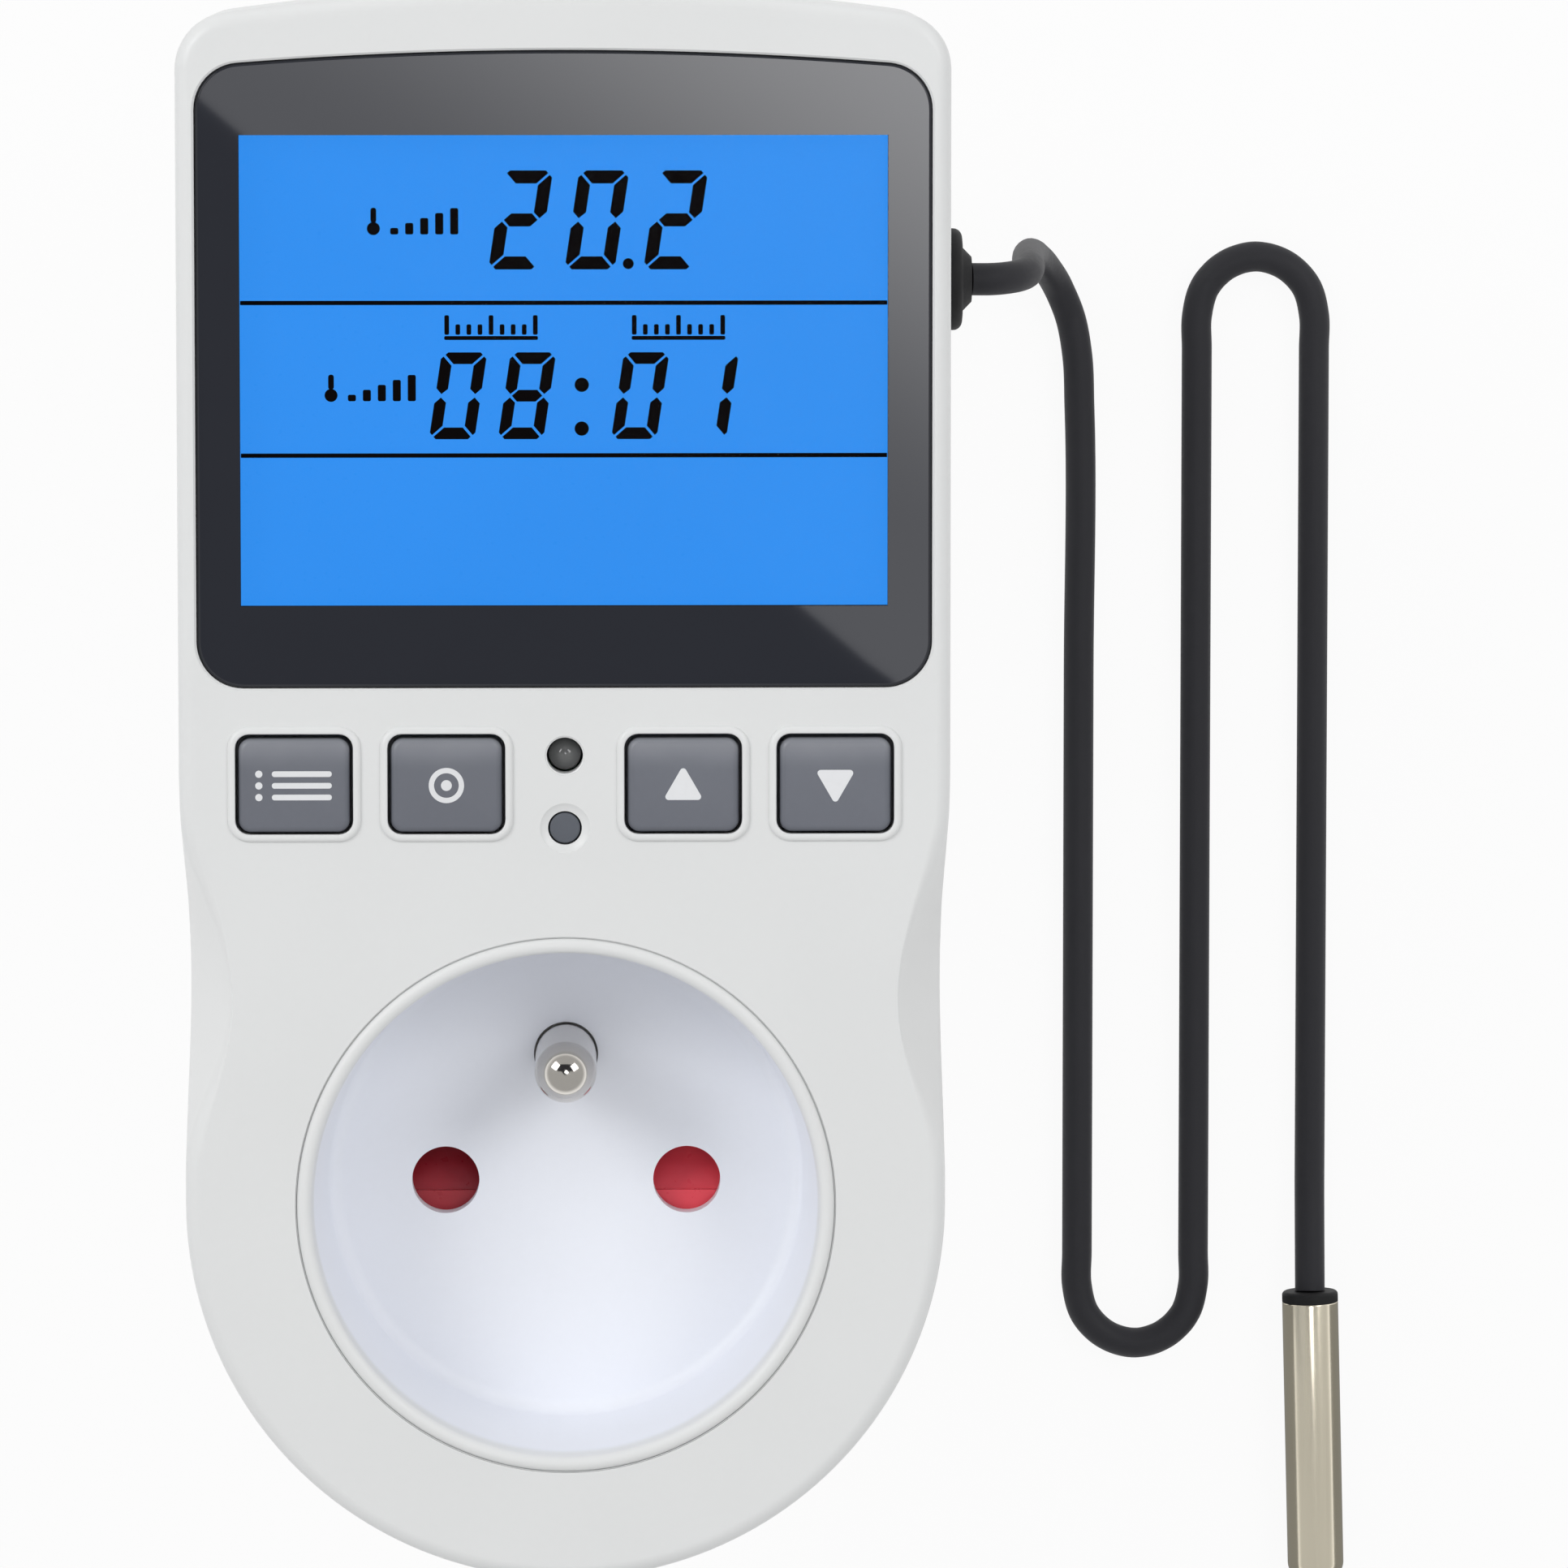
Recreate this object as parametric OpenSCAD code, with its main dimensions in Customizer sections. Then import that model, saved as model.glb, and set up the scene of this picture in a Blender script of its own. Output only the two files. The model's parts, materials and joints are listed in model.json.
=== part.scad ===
/* [Housing] */
// Width of the housing across the display
body_w = 59.7; // [59:0.1:63]
// Reach of the housing from the plug axis up to the top edge
head_reach = 93.8; // [92:0.2:100]
// Radius of the round lower end, about the plug axis
foot_r = 29.5; // [29:0.1:31]
// Depth of the housing from back to front
body_depth = 36; // [36:0.5:42]
// Depth of the front cover, from the front face to the joint with the rear housing
cover_depth = 18; // [16:0.5:19]
// Radius of the curved top edge
crown_r = 188; // [140:1:260]
// Radius of the two upper corners
corner_r = 4.55; // [4:0.05:6]
// Rounding of the front edge
front_edge_r = 1.2; // [0.8:0.1:1.4]
// Rounding of the back edge
back_edge_r = 3; // [1.5:0.1:4]
// Wall of both shells
wall = 2; // [1.6:0.1:2.2]
// How far each shell narrows between the joint and its face
draft = 0.15; // [0.05:0.05:0.2]
// Depth of the finger grips at the front face
grip_depth = 3.6; // [2:0.1:4]
// Place of the finger grips above the plug axis
grip_y = 16; // [15:0.5:17]
// How far down the sides the finger grips run out
grip_drop = 14; // [11:0.5:15]

/* [Plug] */
// Distance between the two power pins
pin_spacing = 19; // [18.6:0.1:19.4]
// Diameter of a power pin
pin_d = 4.8; // [4:0.1:5]
// Length of a power pin beyond the plug face
pin_length = 19; // [17:0.5:20]
// Rounding of a power pin's tip
pin_tip_r = 1.6; // [0.8:0.1:1.9]
// Diameter of the plug body
plug_d = 37; // [36.4:0.1:37.4]
// Height of the plug body behind the housing
plug_h = 17; // [16:0.5:19]
// Distance of the earth contact from the line of the power pins
earth_offset = 10; // [9.6:0.1:10.4]
// Diameter of the hole for a wall socket's earth pin
earth_hole_d = 5.2; // [5:0.1:5.6]

/* [Socket] */
// Depth of the socket recess
recess_depth = 15; // [14:0.5:15.5]
// Diameter of the recess at its mouth
recess_mouth_d = 39.2; // [38.6:0.1:39.6]
// Diameter of the recess at its floor
recess_floor_d = 37.4; // [36.8:0.1:38]
// Width of the visible rim round the recess
rim_w = 1.2; // [1:0.05:1.3]
// Thickness of the recess floor
floor_t = 2; // [1.6:0.1:2.4]
// Diameter of the two holes for a plug's power pins
hole_d = 5.3; // [5:0.1:5.6]
// Diameter of the earth pin
earth_pin_d = 4.8; // [4.6:0.1:4.9]
// Height of the earth pin above the recess floor
earth_pin_h = 14; // [13:0.5:14.5]
// Travel of the safety shutter
shutter_travel = 6; // [5.8:0.1:6.2]

/* [Display] */
// Rim of housing left beside the display lens
lens_rim = 1.6; // [1.5:0.05:2]
// Lower edge of the lens above the plug axis
lens_low = 40.1; // [39.8:0.1:40.6]
// Rim of housing left above the lens at mid width
lens_top_rim = 4.8; // [4.4:0.1:5.4]
// Radius of the curved top edge of the lens
lens_crown_r = 320; // [200:5:420]
// Radius of the corners of the lens
lens_corner_r = 3.6; // [3:0.1:5]
// Thickness of the lens
lens_t = 1; // [0.8:0.1:1.2]
// Depth of the lens below the front face
lens_recess = 0.4; // [0.2:0.1:0.6]
// Width of the dark border on each side of the picture
view_side = 3.4; // [3.3:0.1:5]
// Height of the dark border above the picture at mid width
view_head = 6.5; // [6.2:0.1:9]
// Lower edge of the visible picture above the plug axis
view_low = 46.4; // [46:0.1:47]
// Thickness of the liquid crystal glass
lcd_t = 2.8; // [2.4:0.1:3]
// Thickness of the backlight plate
backlight_t = 3.2; // [2.8:0.1:3.4]

/* [Buttons] */
// Space between two neighbouring button caps
button_space = 3.15; // [2.9:0.05:3.7]
// Height of a button cap along the housing
button_h = 7.25; // [6.8:0.05:7.5]
// Rounding of the corners of a button cap
button_corner_r = 0.65; // [0.4:0.05:1]
// Line of the buttons above the plug axis
button_y = 32.65; // [32.2:0.05:33]
// Distance of the outer pair of buttons from the side of the housing
button_edge = 9.05; // [8.85:0.05:9.35]
// Place of the inner pair of buttons, as a share of the outer pair's place
button_inner_share = 0.4375; // [0.43:0.0025:0.45]
// Travel of a button
button_travel = 0.5; // [0.3:0.05:0.6]
// Width of the raised lip round a button hole
lip_w = 0.6; // [0.4:0.05:0.7]
// Height of the raised lip above the front face
lip_rise = 0.35; // [0.2:0.05:0.6]
// Diameter of the upper lamp hole
upper_lamp_d = 2.8; // [2.6:0.1:3]
// Diameter of the lower lamp hole
lower_lamp_d = 2.6; // [2.4:0.1:2.8]

/* [Sensor] */
// Diameter of the sensor cord
cord_d = 2.55; // [2.3:0.05:2.6]
// Diameter of the cable gland's outer flange
gland_d = 8; // [7.6:0.1:8.4]
// Place of the cable gland above the plug axis
gland_y = 70.8; // [70.6:0.1:71]
// Diameter of the probe
probe_d = 4.75; // [4.4:0.05:5]
// Length of the probe's steel tube
probe_length = 24; // [20:0.5:30]

/* [Hidden] */
// Every piece, one solid or group of solids each
$fn = 64;

// Clearances and the overrun of every cut
overrun = 1;
seat_gap = 0.1;
move_gap = 0.3;
run_gap = 0.06;
sliver_gap = 0.02;

// Levels, from the plug face at zero up to the front face
back_z = plug_h;
front_z = back_z + body_depth;
split_z = front_z - cover_depth;
tape_t = 0.2;
ledge_t = 1;
face_t = lens_recess + lens_t + tape_t + ledge_t;
face_under_z = front_z - face_t;
inner_back_z = back_z + wall;
recess_z = front_z - recess_depth;
board_t = 1.6;
board_top_z = face_under_z - lcd_t - backlight_t;
board_low_z = board_top_z - board_t;

// Outline of the housing: places where its parts meet
body_half = body_w / 2;
waist_low_y = 22;
waist_high_y = 34;
crown_cy = head_reach - crown_r;
corner_x = body_half - corner_r;
corner_y = crown_cy + sqrt(pow(crown_r - corner_r, 2) - corner_x * corner_x);
corner_turn = atan2(corner_y - crown_cy, corner_x);
foot_steps = 36;
corner_steps = 7;
crown_steps = 8;
waist_shares = [0.2, 0.5, 0.8];
edge_steps = 5;

// Points of an arc of radius r about a centre, from angle a to angle b
function arc(centre, r, a, b, steps) = [
    for (i = [0 : steps])
        let (turn = a + (b - a) * i / steps)
        centre + r * [cos(turn), sin(turn)]
];

// A share that eases in and out between 0 and 1
function eased(share) = share * share * (3 - 2 * share);

// Half width of the waist, where the foot meets the wider head
function waist_half(share) = foot_r + (body_half - foot_r) * eased(share);
function waist_point(share, side, inset) = [
    side * (waist_half(share) - inset),
    waist_low_y + (waist_high_y - waist_low_y) * share
];

// The outline of the housing, moved inwards by inset
function outline(inset) = concat(
    arc([0, 0], foot_r - inset, 180, 360, foot_steps),
    [waist_point(0, 1, inset)],
    [for (share = waist_shares) waist_point(share, 1, inset)],
    [waist_point(1, 1, inset)],
    arc([corner_x, corner_y], corner_r - inset, 0, corner_turn, corner_steps),
    arc([0, crown_cy], crown_r - inset, corner_turn, 180 - corner_turn, crown_steps),
    arc([-corner_x, corner_y], corner_r - inset, 180 - corner_turn, 180, corner_steps),
    [waist_point(1, -1, inset)],
    [for (share = waist_shares) waist_point(1 - share, -1, inset)],
    [waist_point(0, -1, inset)]
);

// Drop repeated neighbours, so that every ring has clean edges
function distinct(points) = [
    for (i = [0 : len(points) - 1])
        if (norm(points[i] - points[(i + 1) % len(points)]) > sliver_gap) points[i]
];
outline_count = len(distinct(outline(0)));

// Which points of the full outline are kept in every ring
kept_points = [
    for (i = [0 : len(outline(0)) - 1])
        if (norm(outline(0)[i] - outline(0)[(i + 1) % len(outline(0))]) > sliver_gap) i
];
function clean_outline(inset) = let (full = outline(inset)) [for (i = kept_points) full[i]];

// Faces of a closed stack of rings, each ring with count points
function ring_faces(rings, count) = concat(
    [[for (i = [0 : count - 1]) i]],
    [for (k = [0 : rings - 2], i = [0 : count - 1])
        [k * count + i, (k + 1) * count + (i + 1) % count, k * count + (i + 1) % count]],
    [for (k = [0 : rings - 2], i = [0 : count - 1])
        [k * count + i, (k + 1) * count + i, (k + 1) * count + (i + 1) % count]],
    [[for (i = [count - 1 : -1 : 0]) (rings - 1) * count + i]]
);

// A solid whose outline follows levels, a list of [height, inset]
module outline_stack(levels) {
    points = [
        for (level = levels)
            for (p = clean_outline(level[1]))
                [p[0], p[1], level[0]]
    ];
    polyhedron(
        points = points,
        faces = ring_faces(len(levels), outline_count),
        convexity = 4
    );
}

// Levels of a shell that narrows by draft and ends in a rounded edge
function shell_levels(joint_z, face_z, edge_r) =
    let (way = face_z > joint_z ? 1 : -1)
    concat(
        [[joint_z, 0]],
        [for (i = [0 : edge_steps])
            let (turn = 90 * i / edge_steps)
            [face_z - way * edge_r * (1 - sin(turn)), draft + edge_r * (1 - cos(turn))]]
    );
function lifted(levels) = levels[0][0] < levels[len(levels) - 1][0]
    ? levels
    : [for (i = [len(levels) - 1 : -1 : 0]) levels[i]];

// Straight-walled room inside the outline
module room(inset, low_z, high_z) {
    translate([0, 0, low_z])
        linear_extrude(height = high_z - low_z)
            polygon(clean_outline(inset));
}

// Plate with round corners, from exact squares and circles
module rounded_rect(size, r) {
    square([size[0] - 2 * r, size[1]], center = true);
    square([size[0], size[1] - 2 * r], center = true);
    for (x = [-1, 1], y = [-1, 1])
        translate([x * (size[0] / 2 - r), y * (size[1] / 2 - r)])
            circle(r = r, $fn = 32);
}

// Box given by its middle in the plan, its plan size and its two levels
module block(centre, size, low_z, high_z) {
    translate([centre[0] - size[0] / 2, centre[1] - size[1] / 2, low_z])
        cube([size[0], size[1], high_z - low_z]);
}

// Upright cylinder between two levels
module post(centre, r, low_z, high_z) {
    translate([centre[0], centre[1], low_z])
        cylinder(h = high_z - low_z, r = r);
}

// Screws that hold the two shells together
screw_r = 1.25;
screw_hole_r = 1.6;
screw_head_r = 2.6;
screw_head_h = 1.8;
screw_sink = 2.4;
screw_seat_t = 2.2;
screw_boss_r = 2.7;
screw_bite = 9;
foot_boss_turn = 45;
foot_boss_place_r = foot_r - wall - screw_boss_r + run_gap;
head_boss_x = corner_x;
head_boss_y = corner_y;
screw_places = [
    [foot_boss_place_r * cos(foot_boss_turn), -foot_boss_place_r * sin(foot_boss_turn)],
    [-foot_boss_place_r * cos(foot_boss_turn), -foot_boss_place_r * sin(foot_boss_turn)],
    [head_boss_x, head_boss_y],
    [-head_boss_x, head_boss_y]
];
screw_head_z = back_z + screw_sink;
screw_seat_z = screw_head_z + screw_seat_t;
screw_tip_z = split_z + screw_bite;
screw_blind = 1;

// Tongue of the rear housing that enters the front cover's groove
tongue_t = 0.8;
tongue_h = 1.2;
tongue_inset = (wall - tongue_t) / 2;

// Display opening
lens_half = body_half - lens_rim;
lens_high = head_reach - lens_top_rim;
lens_crown_cy = lens_high - lens_crown_r;
lens_corner_x = lens_half - lens_corner_r;
lens_corner_y = lens_crown_cy
    + sqrt(pow(lens_crown_r - lens_corner_r, 2) - lens_corner_x * lens_corner_x);
lens_turn = atan2(lens_corner_y - lens_crown_cy, lens_corner_x);
view_w = 2 * (lens_half - view_side);
view_h = lens_high - view_head - view_low;
view_y = view_low + view_h / 2;
ledge_margin = 0.5;
mask_margin = 0.3;

// Outline of the lens, moved inwards by inset
function lens_outline(inset) = concat(
    arc([-lens_corner_x, lens_low + lens_corner_r], lens_corner_r - inset, 180, 270, 10),
    arc([lens_corner_x, lens_low + lens_corner_r], lens_corner_r - inset, 270, 360, 10),
    arc([lens_corner_x, lens_corner_y], lens_corner_r - inset, 0, lens_turn, 10),
    arc([0, lens_crown_cy], lens_crown_r - inset, lens_turn, 180 - lens_turn, 12),
    arc([-lens_corner_x, lens_corner_y], lens_corner_r - inset, 180 - lens_turn, 180, 10)
);
module lens_plate(inset, low_z, high_z) {
    translate([0, 0, low_z])
        linear_extrude(height = high_z - low_z)
            polygon(distinct(lens_outline(inset)));
}
lens_floor_z = face_under_z + ledge_t;
lens_low_z = lens_floor_z + tape_t;
lens_top_z = front_z - lens_recess;

// Button holes: the caps sit a little low in them
button_outer_x = body_half - button_edge;
button_inner_x = button_outer_x * button_inner_share;
button_w = button_outer_x - button_inner_x - button_space;
button_side_gap = 0.25;
button_head_gap = 0.33;
button_foot_gap = 0.15;
button_hole_w = button_w + 2 * button_side_gap;
button_hole_h = button_h + button_head_gap + button_foot_gap;
button_hole_y = button_y + (button_head_gap - button_foot_gap) / 2;
button_xs = [-button_outer_x, -button_inner_x, button_inner_x, button_outer_x];
lip_corner_r = button_corner_r + button_side_gap + lip_w;
hole_corner_r = button_corner_r + button_side_gap / 2;

// Button caps, with a flange that holds them in
button_flange_lip = 0.75;
button_flange_t = 0.7;
button_flange_z = face_under_z - move_gap;
button_post_r = 1.5;
button_top_z = front_z + lip_rise;

// Tactile switches under the buttons
switch_w = 6;
switch_h = 3.5;
switch_stem_r = 1.7;
switch_top_z = board_top_z + switch_h;
stem_top_z = switch_top_z + move_gap + button_travel;
stem_bury = 0.4;
stem_floor_gap = 0.2;

// Lamps between the button pairs
upper_lamp_y = 34.9;
lower_lamp_y = 29.3;
lamp_x = 0;
lamp_flange_t = 1;
lamp_flange_rim = 0.35;
lamp_ring_w = 0.65;
lamp_ring_depth = 0.25;
upper_lamp_sink = 1;
lower_lamp_sink = 0.3;
lamp_gap = 0.12;

// Socket insert: a cup let into the front cover from behind
rim_r = recess_mouth_d / 2 + rim_w;
rim_rise = 0.2;
rim_round_r = rim_w / 2;
cup_gap = 0.08;
cup_flange_w = 1.1;
cup_flange_t = 1.5;
cup_floor_round_r = 1.2;
socket_face_r = recess_floor_d / 2 - cup_floor_round_r;
floor_low_z = recess_z - floor_t;
pin_x = pin_spacing / 2;
hole_gap = 0.12;

// Safety shutter between the cup's floor and the tray
shutter_t = 3.4;
shutter_top_z = floor_low_z - move_gap;
shutter_low_z = shutter_top_z - shutter_t;
shutter_pad_w = 7;
shutter_cover = 0.5;
shutter_front_y = hole_d / 2 + shutter_cover;
shutter_step_y = -1.15;
shutter_back_y = -6;
shutter_bar_w = 2.6;
shutter_bar_t = 2.4;
shutter_edge_t = 0.5;
shutter_peg_r = 0.6;
shutter_peg_l = 2.2;

// Tray that carries the shutter
tray_plate_t = 1.2;
tray_r = 20.3;
tray_low_z = shutter_low_z - move_gap - tray_plate_t;
pocket_half = pin_x + shutter_pad_w / 2 + move_gap;
pocket_high_y = shutter_front_y + move_gap;
pocket_low_y = shutter_back_y - shutter_travel - move_gap;
spring_room_half = 1.7;
spring_room_y = -17.4;

// Spring that closes the shutter
spring_wire_r = 0.2;
spring_coil_r = 1.2;
spring_turns = 7;
spring_sides = 6;
spring_ring_steps = 8;

// Carrier for the contacts, on the back wall
carrier_t = 1.6;
carrier_r = plug_d / 2 - seat_gap;
carrier_top_z = inner_back_z + carrier_t;
tower_w = 10.4;
tower_wall = 1;
pin_way_r = pin_d / 2 + move_gap;

// Sprung contacts for the plug that is pushed in
contact_t = 0.8;
contact_w = 7.6;
leaf_t = 0.6;
leaf_w = 5;
leaf_room = 1.6;
leaf_h = tray_low_z - carrier_top_z - contact_t - leaf_room;
leaf_pinch = 0.15;
leaf_flare = 0.7;
tail_w = 3.6;
tail_end_y = 29;

// Plug: body, pins, earth bracket and earth sleeve
plug_r = plug_d / 2;
plug_face_t = 2.5;
plug_edge_r = 0.8;
guide_w = 5;
guide_share = 0.64;
clip_slot_w = 7.6;
clip_slot_share = 0.8;
clip_w = 6;
clip_t = 0.6;
clip_proud = 0.25;
clip_slot_h = 1.3;
clip_top_z = 13.8;
pin_collar_r = 3.4;
pin_collar_t = 1.5;
pin_tail_r = 1.8;
pin_tail_z = 10;
pin_neck = 0.3;
pin_root = 0.3;
sleeve_wall = 0.45;
sleeve_top_z = plug_h;
sleeve_cap_t = 0.8;
sleeve_pinch = 0.18;
sleeve_lift = 0.3;
sleeve_r = earth_hole_d / 2 - sleeve_pinch;
guide_depth = guide_share * (plug_r - wall - pin_x - pin_collar_r);
clip_slot_depth = clip_slot_share * (plug_r - wall - earth_offset - sleeve_r - sleeve_wall);
bracket_ring_r = plug_r - clip_slot_depth - wall - earth_offset - seat_gap;
plug_flange_w = 1.8;
earth_stud_r = 1.5;
earth_flange_r = 3.6;
earth_flange_t = 1.4;

// Wires from the plug pins to the power board
wire_r = 1;
wire_low_z = 14;
wire_up_y = 11;
wire_shift = 3.6;
wire_rise_share = 0.325;
wire_end_y = 28;

// Power board and what stands on it
power_post_h = 2.5;
power_low_z = inner_back_z + power_post_h;
power_top_z = power_low_z + board_t;
power_side = 2.85;
power_foot = 25.6;
power_head = 10.8;
power_half = body_half - wall - power_side;
power_y = [power_foot, head_reach - power_head];
wire_high_z = power_top_z + wire_rise_share * (tray_low_z - power_top_z);
wire_drop = min(wire_r, (wire_high_z - power_top_z) / 2);
power_post_r = 2.3;
power_post_inset = 3.5;
power_post_rise = 4;
power_posts = [
    for (x = [power_post_inset - power_half, power_half - power_post_inset])
        for (y = [power_y[0] + power_post_rise, power_y[1] - power_post_rise])
            [x, y]
];
board_screw_r = 0.95;
board_screw_head_r = 1.9;
board_screw_head_t = 1.1;
board_screw_bite = 3.4;
function on_power(shares) = [
    shares[0] * power_half,
    power_y[0] + shares[1] * (power_y[1] - power_y[0])
];
bay_h = board_low_z - power_top_z;
relay_w = 15.5;
relay_l = 19;
relay_room = 4.3;
relay_h = bay_h - relay_room;
relay_at_shares = [-0.5, 0.3];
film_w = 17.5;
film_l = 8;
film_room = 6.2;
film_h = bay_h - film_room;
film_at_shares = [0.44, 0.21];
reservoir_r = 5;
reservoir_room = 4.2;
reservoir_h = bay_h - reservoir_room;
reservoir_at_shares = [0.4, 0.46];
varistor_room = 9.7;
varistor_r = (bay_h - varistor_room) / 2;
varistor_t = 4.2;
varistor_at_shares = [-0.48, 0.6];
fuse_r = 1.9;
fuse_l = 10.5;
fuse_at_shares = [0.4, 0.65];
diode_r = 1.35;
diode_l = 5.2;
diode_at_shares = [-0.64, 0.755];
diode_spacing = 3.6;
lead_r = 0.35;
lead_rise = 1.2;

// Header that joins the two boards
link_at_shares = [0.32, 0.86];
link_at = on_power(link_at_shares);
link_pins = 6;
link_spacing = 2;
link_pin_w = 0.64;
link_body_h = 2.5;
link_body_w = 2.4;

// Control board, under the display and the buttons
control_side = 1.45;
control_foot = 8.05;
control_head = 9.7;
control_half = body_half - wall - control_side;
control_y = [button_y - control_foot, head_reach - control_head];
function on_control(shares) = [
    shares[0] * control_half,
    control_y[0] + shares[1] * (control_y[1] - control_y[0])
];
control_post_x = (button_inner_x + button_outer_x) / 2;
control_post_drop = 5.75;
control_post_rise = 7.25;
control_posts = [
    for (x = [-control_post_x, control_post_x])
        for (y = [button_y - control_post_drop, button_y + control_post_rise])
            [x, y]
];
control_post_r = 1.55;
chip_w = 10;
chip_t = 1.5;
chip_at_shares = [-0.23, 0.56];
crystal_r = 1.05;
crystal_l = 6.2;
crystal_at_shares = [0.3, 0.595];

// Display stack on the control board
lcd_x_margin = 1.2;
lcd_low_margin = 2.1;
lcd_high_margin = 0.9;
lcd_w = view_w + 2 * lcd_x_margin;
lcd_low_y = view_low - lcd_low_margin;
lcd_high_y = view_low + view_h + lcd_high_margin;
lcd_y = (lcd_low_y + lcd_high_y) / 2;
lcd_h = lcd_high_y - lcd_low_y;
lcd_low_z = face_under_z - lcd_t;
strip_w = 1.6;
strip_edge = 0.2;
strip_end = 1.4;
light_inset = 0.4;
holder_t = 0.8;
holder_drop = 0.6;

// Cable gland in the joint of the shells, and the lead inside
gland_z = split_z;
gland_flange_t = 1.3;
gland_edge_r = 0.7;
gland_neck_r = 2.8;
gland_inner_r = 3.7;
gland_inner_t = 1.2;
gland_seat = 0.05;
gland_root_t = 0.75;
gland_x = body_half + gland_seat;
gland_out_x = gland_x + gland_flange_t + gland_root_t;
gland_in_x = body_half - wall - gland_seat - gland_inner_t;
cord_r = cord_d / 2;
lead_gap = 0.03;
lead_bend_r = 3.4;
lead_turn_x = gland_in_x - 1.2 * cord_d;
connector_w = 6;
connector_y = 6.4;

// Probe at the cord's end, lying on the surface beside the plug
probe_r = probe_d / 2;
surface_z = -pin_length;
probe_wall = 0.35;
probe_fit = 0.02;
probe_lean = 1.5;
seal_t = 0.9;
seal_plug_l = 3;

// The cord's route: out of the gland, down to the surface, and along it
gland_route = [
    [31.95, 70.8, 35], [33.6, 70.8, 34.8], [35.1, 70.9, 33.8], [36.2, 71.1, 32],
    [36.7, 71.4, 29.3], [36.9, 71.6, 25], [37.2, 71.7, 18], [37.6, 71.7, 10],
    [38.1, 71.6, 2], [38.6, 71.4, -5], [39.2, 71, -10.3], [40.2, 70, -14.2],
    [41.4, 68.2, -16.8], [42.5, 65.6, -17.7], [43.1, 62.4, -17.7]
];
surface_route = [
    [43.3, 58, -17.7], [43.3, 36, -17.7], [43.3, 10, -17.7], [43.3, -14, -17.7],
    [43.3, -16.8, -17.7], [44, -19.3, -17.7], [45.8, -21.1, -17.7], [48.3, -21.8, -17.7],
    [50.7, -21.1, -17.7], [52.5, -19.3, -17.7], [53.2, -16.8, -17.7], [53.2, -14, -17.7],
    [53.2, 24, -17.7], [53.2, 63, -17.7], [53.2, 65.7, -17.7], [53.9, 68.2, -17.7],
    [55.7, 70, -17.7], [58.1, 70.7, -17.7], [60.6, 70, -17.7], [62.4, 68.2, -17.7],
    [63.1, 65.7, -17.7], [63.1, 63, -17.7], [63.1, 24, -17.7], [63.1, -8, -17.7],
    [63.1, -17.2, -16.6]
];
cord_route = concat(gland_route, surface_route);
cord_sides = 8;
cord_end = cord_route[len(cord_route) - 1];

// Direction of a route at its point i
function unit(v) = v / norm(v);
function along(route, i) = unit(
    route[min(i + 1, len(route) - 1)] - route[max(i - 1, 0)]
);

// Ring of a tube round a route's point, square to the route
function tube_ring(route, i, r, sides, first, last) =
    let (way = i == 0 ? first : i == len(route) - 1 ? last : along(route, i),
         across = unit(cross(way, [1, 1, 1])),
         up = cross(way, across))
    [for (k = [0 : sides - 1])
        let (turn = 360 * k / sides)
        route[i] + r * (cos(turn) * across + sin(turn) * up)];

// A tube swept along a route, its ends square to the ways first and last
module tube(route, r, sides, first, last) {
    polyhedron(
        points = [
            for (i = [0 : len(route) - 1])
                for (p = tube_ring(route, i, r, sides, first, last)) p
        ],
        faces = ring_faces(len(route), sides),
        convexity = 8
    );
}

// Finger grip: a cut that leans out so that it fades down the side
grip_head_reach = 14;
grip_foot_reach = 13;
grip_steps = 9;
grip_lean = atan2(grip_depth, grip_drop);
grip_out = 4;
function grip_deep(share) = pow(cos(90 * share), 2);
function grip_profile(depth, spread) = concat(
    [for (i = [-grip_steps : grip_steps])
        let (share = i / grip_steps,
             reach = (i > 0 ? grip_head_reach : grip_foot_reach) + spread)
        [foot_r - depth * grip_deep(share), grip_y + share * reach]],
    [[foot_r + grip_out, grip_y + grip_head_reach + spread],
     [foot_r + grip_out, grip_y - grip_foot_reach - spread]]
);
module grip_prism(depth, spread, side) {
    mirror([side < 0 ? 1 : 0, 0, 0])
        translate([foot_r - draft, 0, front_z])
            rotate([0, -grip_lean, 0])
                translate([-foot_r, 0, -grip_drop - overrun])
                    linear_extrude(height = grip_drop + 3 * overrun)
                        polygon(grip_profile(depth, spread));
}

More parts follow.
